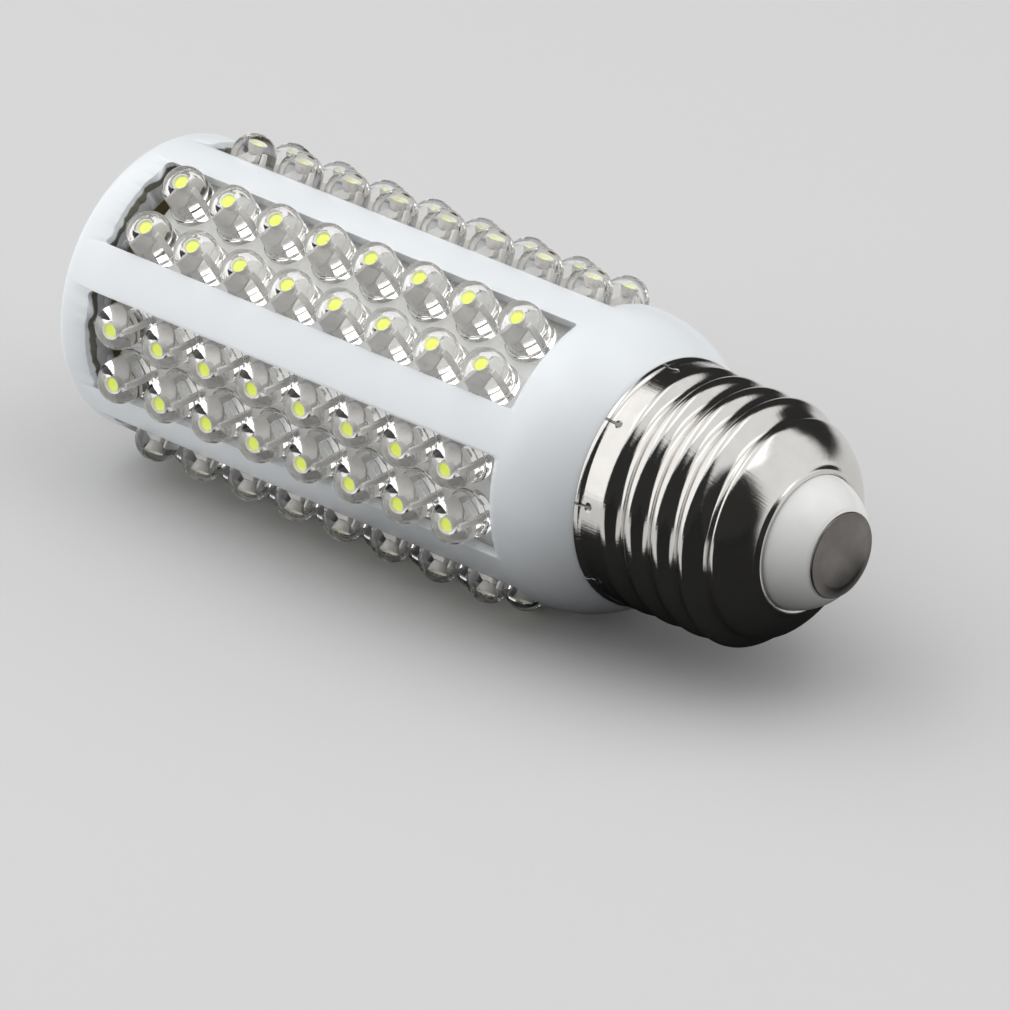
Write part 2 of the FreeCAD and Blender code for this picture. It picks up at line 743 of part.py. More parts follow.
def led_frame():
    """The stamped lead frame of one LED, standing on the board at z = 0: the anvil with its
    cup, and the post that the bond wire goes to."""
    body = new_body("led_frame_master")
    tail = -(cell.board_thick + cell.lead_tail)
    side = cell.lead_side / 2
    near = cell.lead_pitch / 2 - side
    far = cell.lead_pitch / 2 + side
    cup_low = cup_top - cell.cup_height
    foot = cell.cup_foot
    anvil = new_sketch(body, "anvil_outline", "XZ_Plane")
    outline(
        anvil,
        (-far, tail), (-near, tail), (-near, cell.anvil_waist), (foot, cell.anvil_throat),
        (foot, cup_low), (-foot, cup_low), (-far, cell.anvil_back),
    )
    padded(body, "anvil", anvil, cell.lead_side, both=True)
    document.recompute()
    cup = Part.makeCone(
        foot.value, cell.cup_radius.value, cell.cup_height.value, Vector(0, 0, cup_low.value))
    bowl = Part.makeCone(
        foot.value, cell.phosphor_radius.value, cell.phosphor_thick.value,
        Vector(0, 0, cup_top.value - cell.phosphor_thick.value))
    anvil_solid = body.Shape.fuse(cup).cut(bowl).removeSplitter()
    post_body = new_body("led_post_master")
    post = new_sketch(post_body, "post_outline", "XZ_Plane")
    inner = cell.cup_radius + side
    outline(
        post,
        (near, tail), (far, tail), (far, cup_low), (inner + cell.post_tip, cup_top),
        (inner, cup_top), (near, cell.post_waist),
    )
    padded(post_body, "post", post, cell.lead_side, both=True)
    document.recompute()
    return anvil_solid, post_body.Shape, bowl


def led_lens(inside):
    """The clear lens of one LED: flange with its flat, barrel and round top, moulded round
    what it holds."""
    body = new_body("led_lens_master")
    sketch = new_sketch(body, "lens_outline", "XZ_Plane")
    barrel = cell.lens_height - cell.lens_radius
    outline(
        sketch,
        (0, 0), (flange_radius, 0), (flange_radius, cell.flange_height),
        (cell.lens_radius, cell.flange_height), (cell.lens_radius, barrel),
        (0, cell.lens_height, cell.lens_radius, 1),
    )
    turned = body.newObject("PartDesign::Revolution", "lens")
    turned.Profile = sketch
    turned.ReferenceAxis = (sketch, ["V_Axis"])
    turned.Angle = 360.0
    flat = new_sketch(body, "flat_outline", "XZ_Plane")
    block(flat, -flange_radius * 1.2, -0.5, -(cell.lens_radius + cell.flat_clear), cell.flange_height)
    cut = pocketed(body, "flat", flat, flange_radius * 3, both=True)
    body.Tip = cut
    document.recompute()
    return body.Shape.cut(Part.makeCompound(inside))


def side_places():
    """LED places on a side board that faces up: along the axis, across, height."""
    places = []
    for column in range(int(led_columns.value)):
        for row in (-1, 1):
            reach = rim.value - led_near.value - column * led_pitch.value
            places.append(Vector(reach, row * row_offset.value, board_face.value))
    return places


def copies(shapes, placements):
    return Part.makeCompound([
        shape.transformed(place.toMatrix()) for place in placements for shape in shapes])


def leds():
    """The LEDs of the six side boards and of the end board."""
    anvil, post, phosphor = led_frame()
    lens = led_lens([anvil, post, phosphor])
    everywhere = []
    standing = [Placement(place, Rotation()) for place in side_places()]
    for number, angle in enumerate(side_angles, start=1):
        turned = Placement(Vector(), Rotation(Vector(1, 0, 0), angle))
        feature("side_lenses_%d" % number, copies([lens], standing), turned)
        feature("side_leads_%d" % number, copies([anvil, post], standing), turned)
        everywhere += [turned.multiply(place) for place in standing]
    face = rim.value - ledge_reach.value - cell.board_thick.value
    ends = []
    for angle, radius in end_places():
        outward = Placement(Vector(face, 0, radius.value), Rotation(Vector(0, 1, 0), -90.0))
        across = Placement(Vector(), Rotation(Vector(0, 0, 1), 90.0))
        turned = Placement(Vector(), Rotation(Vector(1, 0, 0), angle))
        ends.append(turned.multiply(outward).multiply(across))
    feature("end_lenses", copies([lens], ends))
    feature("end_leads", copies([anvil, post], ends))
    feature("phosphor", copies([phosphor], everywhere + ends))


def pins(body, name, places, lift, down, tail):
    """Component leads through the driver board, with a tail beyond it."""
    sketch = new_sketch(body, name, "XY_Plane", lift)
    for x, y in places:
        ring(sketch, x, y, cell.pin_radius)
    return padded(body, name + "_pad", sketch, cell.driver_thick + tail, down=down)


def film_places():
    middle = rim + cell.film_forward
    reach = cell.film_length / 2 - cell.pin_radius * 4
    return [(middle - reach, -cell.film_side), (middle + reach, -cell.film_side)]


def bulk_places():
    middle = rim - cell.bulk_back
    reach = cell.bulk_radius * 0.45
    return [(middle - reach, Size.of(0)), (middle + reach, Size.of(0))]


def bridge_places():
    middle = rim - cell.bridge_back
    along = cell.bridge_length / 2 - cell.pin_radius * 3
    across = cell.bridge_width / 2 - cell.pin_radius * 3
    return [(middle + along * i, across * j) for i in (-1, 1) for j in (-1, 1)]


def resistor_places(forward, side):
    middle = rim + forward
    reach = cell.resistor_span / 2
    return [(middle - reach, side), (middle + reach, side)]


def wire_places():
    """Holes for the wires: live, neutral, then the two feeds to the LED boards."""
    front = rim + cell.driver_near - cell.wire_radius * 3
    back = rim - cell.driver_far + cell.wire_radius * 3
    side = driver_width / 2 - cell.wire_radius * 4
    return [(front, Size.of(0)), (front, side * 0.7), (back, -side), (back, side)]


def bleeders():
    middle = cell.film_forward
    return [(middle, cell.bleeder_near_side), (middle, cell.bleeder_far_side)]


def driver_board():
    body = new_body("driver_board")
    strip = new_sketch(body, "driver_strip", "XY_Plane", driver_low)
    half = driver_width / 2
    block(strip, rim - cell.driver_far, -half, rim + cell.driver_near, half)
    padded(body, "driver_pad", strip, cell.driver_thick)
    holes = new_sketch(body, "driver_holes", "XY_Plane", driver_low)
    drilled = film_places() + bulk_places() + bridge_places()
    drilled += resistor_places(cell.fuse_forward, Size.of(0))
    for forward, side in bleeders():
        drilled += resistor_places(forward, side)
    for x, y in drilled:
        ring(holes, x, y, cell.pin_radius + cell.lead_play)
    for x, y in wire_places():
        ring(holes, x, y, cell.wire_radius + cell.lead_play)
    pocketed(body, "driver_drill", holes, cell.driver_thick, reverse=True)
    return keep(body, "driver_board")


def film_capacitor():
    body = new_body("film_capacitor")
    middle = rim + cell.film_forward
    box = new_sketch(body, "film_outline", "XY_Plane", cell.driver_top)
    half = cell.film_length / 2
    side = cell.film_width / 2
    block(box, middle - half, -cell.film_side - side, middle + half, -cell.film_side + side)
    case = padded(body, "film_case", box, cell.film_height)
    document.recompute()
    soft = body.newObject("PartDesign::Fillet", "film_round")
    soft.Base = (case, [face_name(case, Vector(0, 0, 1))])
    bind(soft, Radius=cell.film_round)
    pins(body, "film_pins", film_places(), cell.driver_top, True, cell.pin_tail)
    return keep(body, "film_capacitor")


def face_name(thing, direction):
    """The name of the flat face that looks in a direction."""
    for index, face in enumerate(thing.Shape.Faces, start=1):
        if face.normalAt(0, 0).getAngle(direction) < 1e-3:
            return "Face%d" % index
    raise RuntimeError("no face looks that way on " + thing.Name)


def bulk_capacitor():
    """The smoothing capacitor: a can with a crimped groove above its rubber bung."""
    body = new_body("bulk_capacitor")
    can = new_sketch(body, "bulk_outline", "XZ_Plane")
    middle = rim - cell.bulk_back
    low = cell.driver_top
    high = low + cell.bulk_height
    radius = cell.bulk_radius
    crimp = low + cell.bulk_height * 0.14
    dip = radius * 0.09
    edge = radius * 0.12
    outline(
        can,
        (middle, low), (middle + radius, low), (middle + radius, crimp - dip),
        (middle + radius - dip, crimp, dip, 1), (middle + radius, crimp + dip, dip, 1),
        (middle + radius, high - edge), (middle + radius - edge, high, edge, 1), (middle, high),
    )
    turned = body.newObject("PartDesign::Revolution", "bulk_can")
    turned.Profile = can
    turned.ReferenceAxis = (can, ["Edge1"])
    turned.Angle = 360.0
    pins(body, "bulk_pins", bulk_places(), cell.driver_top, True, -cell.pin_trim)
    return keep(body, "bulk_capacitor")


def bridge_rectifier():
    body = new_body("bridge_rectifier")
    middle = rim - cell.bridge_back
    box = new_sketch(body, "bridge_outline", "XY_Plane", driver_low)
    half = cell.bridge_length / 2
    side = cell.bridge_width / 2
    block(box, middle - half, -side, middle + half, side)
    case = padded(body, "bridge_case", box, cell.bridge_height, down=True)
    document.recompute()
    soft = body.newObject("PartDesign::Chamfer", "bridge_bevel")
    soft.Base = (case, [face_name(case, Vector(0, 0, -1))])
    bind(soft, Size=cell.bridge_bevel)
    pins(body, "bridge_pins", bridge_places(), driver_low, False, -cell.pin_trim)
    return keep(body, "bridge_rectifier")


def resistor_shape(forward, side, over):
    """An axial resistor with its leads bent down (or up) through the driver board."""
    radius = cell.resistor_radius.value
    half = cell.resistor_length.value / 2
    sign = 1 if over else -1
    board = cell.driver_top.value if over else driver_low.value
    height = board + sign * (radius + cell.resistor_lift.value)
    tail = board - sign * (cell.driver_thick.value + cell.pin_tail.value)
    middle = rim.value + forward.value
    reach = cell.resistor_span.value / 2
    thin = cell.pin_radius.value
    lead = bent_wire([
        Vector(middle - reach, side.value, tail), Vector(middle - reach, side.value, height),
        Vector(middle + reach, side.value, height), Vector(middle + reach, side.value, tail),
    ], thin, thin * 2)
    start = Vector(middle - half, side.value, height)
    waist = 0.85 * radius
    body = Part.makeCylinder(waist, 2 * half, start, Vector(1, 0, 0))
    for place in (middle - half, middle + half - half / 2):
        cap = Part.makeCylinder(radius, half / 2, Vector(place, side.value, height), Vector(1, 0, 0))
        body = body.fuse(cap.makeFillet(radius * 0.4, [e for e in cap.Edges if e.isClosed()]))
    return body.fuse(lead).removeSplitter()


def wires():
    """The insulated wires: live to the rivet, neutral to the shell, and the two feeds."""
    radius = cell.wire_radius.value
    kink = cell.wire_kink.value
    top = cell.driver_top.value
    under = driver_low.value - cell.pin_tail.value
    live, neutral, left, right = [Vector(x.value, y.value, under) for x, y in wire_places()]
    shank = Vector(rim.value + cell.flange_back.value - cell.rivet_thick.value, 0, 0)
    feature("live_wire", bent_wire(
        [shank, Vector(live.x, 0, 0), live], radius, cell.wire_bend.value))
    shell = cell.crest_radius.value - cell.sheet.value - cell.thread_depth.value
    slot = rim.value + cell.slot_reach.value + cell.wire_slot.value
    feature("neutral_wire", bent_wire([
        neutral,
        Vector(neutral.x, neutral.y, top + cell.neutral_rise.value),
        Vector(slot + cell.neutral_lead.value, 0, shell - cell.neutral_drop.value),
        Vector(slot, 0, shell - cell.neutral_end.value),
    ], radius, kink))
    face = board_back.value
    pad = rim.value - board_near.value - cell.link_inset.value * 2
    bent = top + cell.feed_rise.value
    high = top + cell.feed_height.value
    for name, hole, sign in (("feed_wire_left", left, -1), ("feed_wire_right", right, 1)):
        feature(name, bent_wire([
            hole,
            Vector(hole.x, hole.y, bent),
            Vector(pad, sign * (face - cell.feed_stand.value), high),
            Vector(pad, sign * face, high),
        ], radius, kink))


def on_board(number, reach, across, height):
    """A point over a side board: reach along the axis, across its width, height from the axis."""
    angle = math.radians(side_angles[number])
    y = across * math.cos(angle) - height * math.sin(angle)
    z = across * math.sin(angle) + height * math.cos(angle)
    return Vector(reach, y, z)


def board_links():
    """Bare wire links that join the six boards in one string, at alternate ends, and the two
    that reach the end board."""
    face = board_back.value
    inner = face - cell.link_depth.value
    side = board_width.value / 2 - cell.link_margin.value
    inset = cell.link_inset.value
    near = rim.value - board_near.value - inset
    far = rim.value - board_far.value + inset
    radius = cell.link_radius.value
    bend = cell.link_bend.value
    links = []
    for number in range(sides - 1):
        reach = far if number % 2 == 0 else near
        links.append(bent_wire([
            on_board(number, reach, -side, face), on_board(number, reach, -side, inner),
            on_board(number + 1, reach, side, inner), on_board(number + 1, reach, side, face)],
            radius, bend))
    feature("board_links", Part.makeCompound(links))
    seat = rim.value - ledge_reach.value
    tails = []
    for number, across in ((0, side), (sides - 1, -side)):
        tails.append(bent_wire([
            on_board(number, far, across, face), on_board(number, far, across, inner),
            on_board(number, seat, across, inner)], radius, bend))
    feature("end_links", Part.makeCompound(tails))


housing()
screw_shell()
insulator()
centre_contact()
for board_number, board_angle in enumerate(side_angles, start=1):
    side_board(board_number, board_angle)
end_board()
leds()
driver_board()
film_capacitor()
bulk_capacitor()
bridge_rectifier()
feature("fusible_resistor", resistor_shape(cell.fuse_forward, Size.of(0), False))
feature("bleeder_resistors", Part.makeCompound(
    [resistor_shape(forward, side, True) for forward, side in bleeders()]))
wires()
board_links()

document.recompute()
for thing in document.Objects:
    if "Invalid" in thing.State or "Error" in thing.State:
        raise RuntimeError("%s is %s" % (thing.Name, thing.State))
for node in nodes:
    if node.Shape.isNull() or not node.Shape.isValid():
        raise RuntimeError("the shape of %s is null or not valid" % node.Label)
os.makedirs("parts", exist_ok=True)
for node in nodes:
    node.Shape.exportStep("parts/%s.step" % node.Label)
    print("%-20s %3d solids %10.2f mm3" % (node.Label, len(node.Shape.Solids), node.Shape.Volume))
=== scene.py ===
"""A corn LED bulb with a screw cap, lying on a pale floor under soft light.

+X runs along the axis to the centre contact and +Z is up. Sizes are in millimetres, and MM turns
them into metres where a mesh, a lamp or the camera is made.
"""

import logging
import math
from dataclasses import dataclass, field
from enum import Enum
from typing import Any, Callable, Iterable, Mapping, Sequence

import bpy
import numpy as np
from mathutils import Matrix, Vector, noise


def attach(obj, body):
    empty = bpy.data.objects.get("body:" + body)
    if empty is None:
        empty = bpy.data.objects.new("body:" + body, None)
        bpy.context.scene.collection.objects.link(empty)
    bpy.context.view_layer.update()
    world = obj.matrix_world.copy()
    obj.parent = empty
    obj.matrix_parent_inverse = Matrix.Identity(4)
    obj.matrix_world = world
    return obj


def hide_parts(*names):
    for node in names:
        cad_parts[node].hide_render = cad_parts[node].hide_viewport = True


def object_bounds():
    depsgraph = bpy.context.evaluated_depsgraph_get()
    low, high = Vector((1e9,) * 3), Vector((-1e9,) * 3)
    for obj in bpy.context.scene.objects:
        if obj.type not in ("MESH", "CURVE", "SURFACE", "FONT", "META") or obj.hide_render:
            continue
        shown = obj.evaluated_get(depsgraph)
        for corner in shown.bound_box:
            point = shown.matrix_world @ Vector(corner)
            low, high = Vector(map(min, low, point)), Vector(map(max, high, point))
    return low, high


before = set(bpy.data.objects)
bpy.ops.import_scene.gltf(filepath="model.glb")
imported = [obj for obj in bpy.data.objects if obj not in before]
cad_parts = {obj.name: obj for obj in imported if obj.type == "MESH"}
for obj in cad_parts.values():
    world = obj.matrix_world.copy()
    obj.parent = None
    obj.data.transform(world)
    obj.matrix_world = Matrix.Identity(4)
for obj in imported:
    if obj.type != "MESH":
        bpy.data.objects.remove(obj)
CAD_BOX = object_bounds()

MM = 0.001
MADE: dict[str, bpy.types.Material] = {}
log = logging.getLogger("bulb")

Colour = tuple[float, float, float]
Corner = tuple[float, float]
Thing = bpy.types.Object


class Slot(Enum):
    """Finish names for the new pieces."""

    WHITE_PLASTIC = "white_plastic"
    NICKEL_SHELL = "nickel_shell"
    WHITE_INSULATOR = "white_insulator"
    CONTACT_METAL = "contact_metal"
    CLEAR_EPOXY = "clear_epoxy"
    LEAD_METAL = "lead_metal"
    PHOSPHOR = "phosphor"
    TINNED_WIRE = "tinned_wire"


class Turn(Enum):
    """Which way an arc of an outline turns as it is drawn."""

    LEFT = 1
    RIGHT = -1


def level_arc(run: float, drop: float) -> float:
    """Radius of an arc that starts level and falls by drop over the run."""
    return (run * run + drop * drop) / (2 * drop)


def arc(start: Corner, end: Corner, radius: float, turn: Turn, steps: int) -> list[Corner]:
    """Corners along an arc, without its start.

    Args:
        start: where the arc starts.
        end: where it ends.
        radius: its radius, at least half the distance between the two.
        turn: which way it turns.
        steps: how many straight pieces stand for it.

    Returns:
        The corners after start, up to and with end.
    """
    first, last = Vector(start), Vector(end)
    chord = last - first
    left = Vector((-chord.y, chord.x)).normalized()
    rise = math.sqrt(max(radius * radius - chord.length_squared / 4, 0.0))
    centre = (first + last) / 2 + left * rise * turn.value
    begin = math.atan2(first.y - centre.y, first.x - centre.x)
    sweep = math.atan2(last.y - centre.y, last.x - centre.x) - begin
    sweep = math.remainder(sweep, 2 * math.pi)
    angles = [begin + sweep * step / steps for step in range(1, steps + 1)]
    return [(centre.x + radius * math.cos(a), centre.y + radius * math.sin(a)) for a in angles]


def eased(value: float, low: float, high: float) -> float:
    """Rise smoothly from 0 at low to 1 at high."""
    share = min(max((value - low) / (high - low), 0.0), 1.0)
    return share * share * (3 - 2 * share)


def toward(side: float, rise: float) -> Vector:
    """The way to a lamp or the camera, in degrees from -Y towards +X and above the floor."""
    turn, up = math.radians(side), math.radians(rise)
    return Vector((math.sin(turn) * math.cos(up), -math.cos(turn) * math.cos(up), math.sin(up)))


class Bench:
    """Modelling by operators, with nothing else selected."""

    @staticmethod
    def take(thing: Thing) -> None:
        """Leave edit mode and select one object alone."""
        if bpy.context.mode != "OBJECT":
            bpy.ops.object.mode_set(mode="OBJECT")
        bpy.ops.object.select_all(action="DESELECT")
        thing.select_set(True)
        bpy.context.view_layer.objects.active = thing

    @staticmethod
    def edit(thing: Thing) -> None:
        """Open one object in edit mode with all of it selected."""
        Bench.take(thing)
        bpy.ops.object.mode_set(mode="EDIT")
        bpy.ops.mesh.select_all(action="SELECT")

    @staticmethod
    def line(name: str, points: Sequence[Sequence[float]], closed: bool = False) -> Thing:
        """Draw a line of edges and stay in edit mode.

        Args:
            name: the object's name.
            points: its corners in millimetres.
            closed: whether an edge joins the last corner to the first.

        Returns:
            The object, with all of it selected.
        """
        bpy.ops.object.select_all(action="DESELECT")
        bpy.ops.mesh.primitive_plane_add(size=MM)
        thing = bpy.context.active_object
        thing.name = name
        thing.data.name = name
        bpy.ops.object.mode_set(mode="EDIT")
        bpy.ops.mesh.select_all(action="SELECT")
        bpy.ops.mesh.merge(type="CENTER")
        places = [Vector(point) * MM for point in points]
        bpy.ops.transform.translate(value=places[0])
        for before, after in zip(places, places[1:]):
            bpy.ops.mesh.extrude_region_move(TRANSFORM_OT_translate={"value": after - before})
        bpy.ops.mesh.select_all(action="SELECT")
        if closed:
            bpy.ops.mesh.edge_face_add()
        return thing

    @staticmethod
    def tidy() -> None:
        """Merge what coincides and turn every face outwards."""
        bpy.ops.mesh.select_all(action="SELECT")
        bpy.ops.mesh.remove_doubles(threshold=0.0005 * MM)
        bpy.ops.mesh.normals_make_consistent(inside=False)
        bpy.ops.object.mode_set(mode="OBJECT")

    @staticmethod
    def turned(name: str, profile: Sequence[Corner], steps: int, closed: bool = False,
               upright: bool = False) -> Thing:
        """Turn a profile right round an axis.

        Args:
            name: the object's name.
            profile: (along the axis, radius) corners.
            steps: how many straight pieces go round.
            closed: whether the profile is a ring, as of a hollow wall.
            upright: whether the axis is Z and not X.

        Returns:
            The turned object.
        """
        axis = (0, 0, 1) if upright else (1, 0, 0)
        points = [(r, 0, a) if upright else (a, 0, r) for a, r in profile]
        thing = Bench.line(name, points, closed)
        if closed:
            bpy.ops.mesh.delete(type="ONLY_FACE")
            bpy.ops.mesh.select_all(action="SELECT")
        bpy.ops.mesh.spin(steps=steps, angle=2 * math.pi, center=(0, 0, 0), axis=axis)
        Bench.tidy()
        return thing

    @staticmethod
    def plate(name: str, outline: Sequence[Sequence[float]], depth: Sequence[float]) -> Thing:
        """Fill an outline and push it through by a depth.

        Args:
            name: the object's name.
            outline: its corners in millimetres, in one plane.
            depth: the push, in millimetres.

        Returns:
            The closed plate.
        """
        thing = Bench.line(name, outline, closed=True)
        bpy.ops.mesh.extrude_region_move(TRANSFORM_OT_translate={"value": Vector(depth) * MM})
        Bench.tidy()
        return thing

    @staticmethod
    def finish(thing: Thing, kind: str, **settings: Any) -> None:
        """Add a modifier with its settings and apply it."""
        Bench.take(thing)
        modifier = thing.modifiers.new(kind.title(), kind)
        for name, value in settings.items():
            setattr(modifier, name, value)
        bpy.ops.object.modifier_apply(modifier=modifier.name)

    @staticmethod
    def smooth(thing: Thing, degrees: float = 40.0) -> Thing:
        """Shade smoothly across edges flatter than an angle."""
        Bench.take(thing)
        bpy.ops.object.shade_smooth_by_angle(angle=math.radians(degrees))
        return thing

    @staticmethod
    def joined(name: str, things: Sequence[Thing]) -> Thing:
        """Join several objects into one of a new name."""
        Bench.take(things[0])
        for thing in things[1:]:
            thing.select_set(True)
        if len(things) > 1:
            bpy.ops.object.join()
        whole = bpy.context.view_layer.objects.active
        whole.name = name
        whole.data.name = name
        return whole

    @staticmethod
    def copied(name: str, master: Thing, places: Iterable[Matrix]) -> Thing:
        """Set copies of a piece at several places and join them.

        Args:
            name: the joined object's name.
            master: the piece, modelled at the origin.
            places: where each copy goes, in metres.

        Returns:
            One object with every copy in it.
        """
        copies = []
        for place in places:
            mesh = master.data.copy()
            mesh.transform(place)
            copy = bpy.data.objects.new(name, mesh)
            bpy.context.scene.collection.objects.link(copy)
            copies.append(copy)
        return Bench.joined(name, copies)

    @staticmethod
    def scrap(*things: Thing) -> None:
        """Remove helpers that aren't part of the object."""
        for thing in things:
            bpy.data.objects.remove(thing, do_unlink=True)

    @staticmethod
    def reshape(thing: Thing, move: Callable[[np.ndarray], np.ndarray]) -> None:
        """Move every vertex by a rule on its place in millimetres."""
        count = len(thing.data.vertices)
        flat = np.empty(count * 3)
        thing.data.vertices.foreach_get("co", flat)
        moved = move(flat.reshape(count, 3) / MM) * MM
        thing.data.vertices.foreach_set("co", moved.ravel())
        thing.data.update()


class Socket:
    """A node's output that can be used in sums."""

    def __init__(self, net: "Net", output: bpy.types.NodeSocket) -> None:
        """Wrap an output of a net's node."""
        self.net = net
        self.output = output

    def maths(self, operation: str, *values: Any) -> "Socket":
        """Add a Math node that works on this socket and others."""
        inputs = dict(enumerate((self, *values)))
        return self.net.add("ShaderNodeMath", {"operation": operation}, inputs)

    def __add__(self, other: Any) -> "Socket":
        """This plus other."""
        return self.maths("ADD", other)

    def __sub__(self, other: Any) -> "Socket":
        """This minus other."""
        return self.maths("SUBTRACT", other)

    def __mul__(self, other: Any) -> "Socket":
        """This times other."""
        return self.maths("MULTIPLY", other)

    def __truediv__(self, other: Any) -> "Socket":
        """This divided by other."""
        return self.maths("DIVIDE", other)

    __radd__ = __add__
    __rmul__ = __mul__

    def __rsub__(self, other: Any) -> "Socket":
        """Other minus this."""
        return self.net.add("ShaderNodeMath", {"operation": "SUBTRACT"}, {0: other, 1: self})

    def fades(self, low: float, high: float) -> "Socket":
        """Rise smoothly from 0 at low to 1 at high, or fall where low is the larger."""
        settings = {"interpolation_type": "SMOOTHSTEP"}
        if low < high:
            return self.net.add("ShaderNodeMapRange", settings,
                                {"Value": self, "From Min": low, "From Max": high})
        return 1 - self.fades(high, low)

    def between(self, low: float, high: float, blend: float) -> "Socket":
        """Be 1 from low to high, with edges that blend inwards."""
        return self.fades(high, high - blend) * self.fades(low, low + blend)


class Net:
    """The nodes of one material."""

    def __init__(self, name: str) -> None:
        """Start a material with an output and nothing else."""
        self.material = bpy.data.materials.new(name)
        self.material.use_nodes = True
        self.tree = self.material.node_tree
        self.tree.nodes.clear()
        self.end = self.tree.nodes.new("ShaderNodeOutputMaterial")

    def add(self, kind: str, settings: Mapping[str, Any] | None = None,
            inputs: Mapping[str | int, Any] | None = None, output: str | int = 0) -> Socket:
        """Add any node.

        Args:
            kind: the node's type.
            settings: its properties, set first.
            inputs: values or links of its inputs, by name or number.
            output: the output that is wanted.

        Returns:
            That output.
        """
        node = self.tree.nodes.new(kind)
        for name, value in (settings or {}).items():
            setattr(node, name, value)
        for name, value in (inputs or {}).items():
            entry = node.inputs[name]
            if isinstance(value, Socket):
                self.tree.links.new(value.output, entry)
            elif isinstance(value, tuple) and entry.type == "RGBA":
                entry.default_value = (*value, 1.0)
            else:
                entry.default_value = value
        return Socket(self, node.outputs[output])

    def place(self, turn: float = 0.0, stretch: Colour = (1.0, 1.0, 1.0)) -> Socket:
        """Object coordinates in millimetres.

        Args:
            turn: degrees that the object stands turned about X, taken off again.
            stretch: factors on the three coordinates.

        Returns:
            The place as a vector.
        """
        coordinates = self.add("ShaderNodeTexCoord", output="Object")
        scale = tuple(factor / MM for factor in stretch)
        return self.add("ShaderNodeMapping", None, {
            "Vector": coordinates, "Rotation": (math.radians(-turn), 0, 0), "Scale": scale})

    def split(self, vector: Socket) -> tuple[Socket, Socket, Socket]:
        """The three parts of a vector."""
        node = self.add("ShaderNodeSeparateXYZ", None, {0: vector}).output.node
        return tuple(Socket(self, part) for part in node.outputs)

    def merge(self, x: Any, y: Any, z: Any) -> Socket:
        """A vector from its three parts."""
        return self.add("ShaderNodeCombineXYZ", None, {0: x, 1: y, 2: z})

    def grain(self, vector: Socket, per_mm: float, detail: float = 3.0,
              rough: float = 0.55) -> Socket:
        """Noise from 0 to 1, with so many lumps to a millimetre."""
        return self.add("ShaderNodeTexNoise", None, {
            "Vector": vector, "Scale": per_mm, "Detail": detail, "Roughness": rough})

    def mix(self, share: Any, one: Any, other: Any) -> Socket:
        """A colour between two."""
        return self.add("ShaderNodeMix", {"data_type": "RGBA"},
                        {0: share, 6: one, 7: other}, output=2)

    def bump(self, height: Socket, depth: float, strength: float = 1.0,
             under: Socket | None = None) -> Socket:
        """Relief from a height of 0 to 1.

        Args:
            height: the relief.
            depth: what a height of 1 means, in millimetres.
            strength: how much of it shows.
            under: relief that this one is added to.

        Returns:
            The bent normal.
        """
        inputs = {"Height": height, "Distance": depth * MM, "Strength": strength}
        if under is not None:
            inputs["Normal"] = under
        return self.add("ShaderNodeBump", None, inputs)

    def surface(self, **inputs: Any) -> None:
        """End the net in one shader, whose inputs are named with _ for a space."""
        named = {name.replace("_", " "): value for name, value in inputs.items()}
        shader = self.add("ShaderNodeBsdfPrincipled", None, named)
        self.tree.links.new(shader.output, self.end.inputs["Surface"])


@dataclass(frozen=True)
class Finish:
    """A surface that paints its own material once."""

    name: str
    colour: Colour
    roughness: float

    def material(self) -> bpy.types.Material:
        """Make the material, or give it again."""
        if self.name not in MADE:
            net = Net(self.name)
            self.paint(net)
            net.material.diffuse_color = (*self.colour, 1.0)
            MADE[self.name] = net.material
        return MADE[self.name]

    def paint(self, net: Net) -> None:
        """Add the nodes; each finish has its own way."""
        raise NotImplementedError

    def shade(self, factor: float) -> Colour:
        """The finish's colour, lighter or darker."""
        return tuple(min(part * factor, 1.0) for part in self.colour)


@dataclass(frozen=True)
class MouldedPlastic(Finish):
    """Smooth moulded plastic with a faint cloudiness, a fine skin and painted shade on the torn
    wall at the windows' head end.
    """

    cloud: float = 0.03
    skin: float = 0.004
    painted_shade: Colour = (0.13, 0.125, 0.09)
    painted_shade_reach: float = -92.3
    painted_shade_width: float = 0.75
    painted_shade_core: float = 0.5
    painted_shade_radius: float = 15.9
    painted_shade_depth: float = 1.1
    painted_shade_blend: float = 0.2
    painted_shade_share: float = 0.95

    def paint(self, net: Net) -> None:
        """Cloud the colour, paint shade on the torn wall and roughen the skin a little."""
        place = net.place()
        cloud = net.grain(place, 0.09, 2.0)
        skin = net.grain(place, 5.0, 4.0)
        flow = net.grain(net.place(stretch=(0.25, 1.0, 1.0)), 0.5, 2.0)
        colour = net.mix(cloud.fades(0.35, 0.65), self.shade(1 - self.cloud), self.colour)
        x, y, z = net.split(place)
        radius = (y * y + z * z).maths("SQRT")
        # Painted shade: the torn band of the wall at the windows' head end is darkened to dark
        # olive, where shade falls into the gap behind it.
        near = (x - self.painted_shade_reach).maths("ABSOLUTE").fades(self.painted_shade_width, self.painted_shade_core)
        torn = radius.between(self.painted_shade_radius - self.painted_shade_depth, self.painted_shade_radius,
                              self.painted_shade_blend)
        colour = net.mix(near * torn * self.painted_shade_share, colour, self.painted_shade)
        relief = net.bump(flow, 0.012, 0.5, net.bump(skin, self.skin))
        net.surface(Base_Color=colour, Roughness=self.roughness + skin * 0.08 - 0.04,
                    Specular_IOR_Level=0.5, Coat_Weight=0.0, Normal=relief)


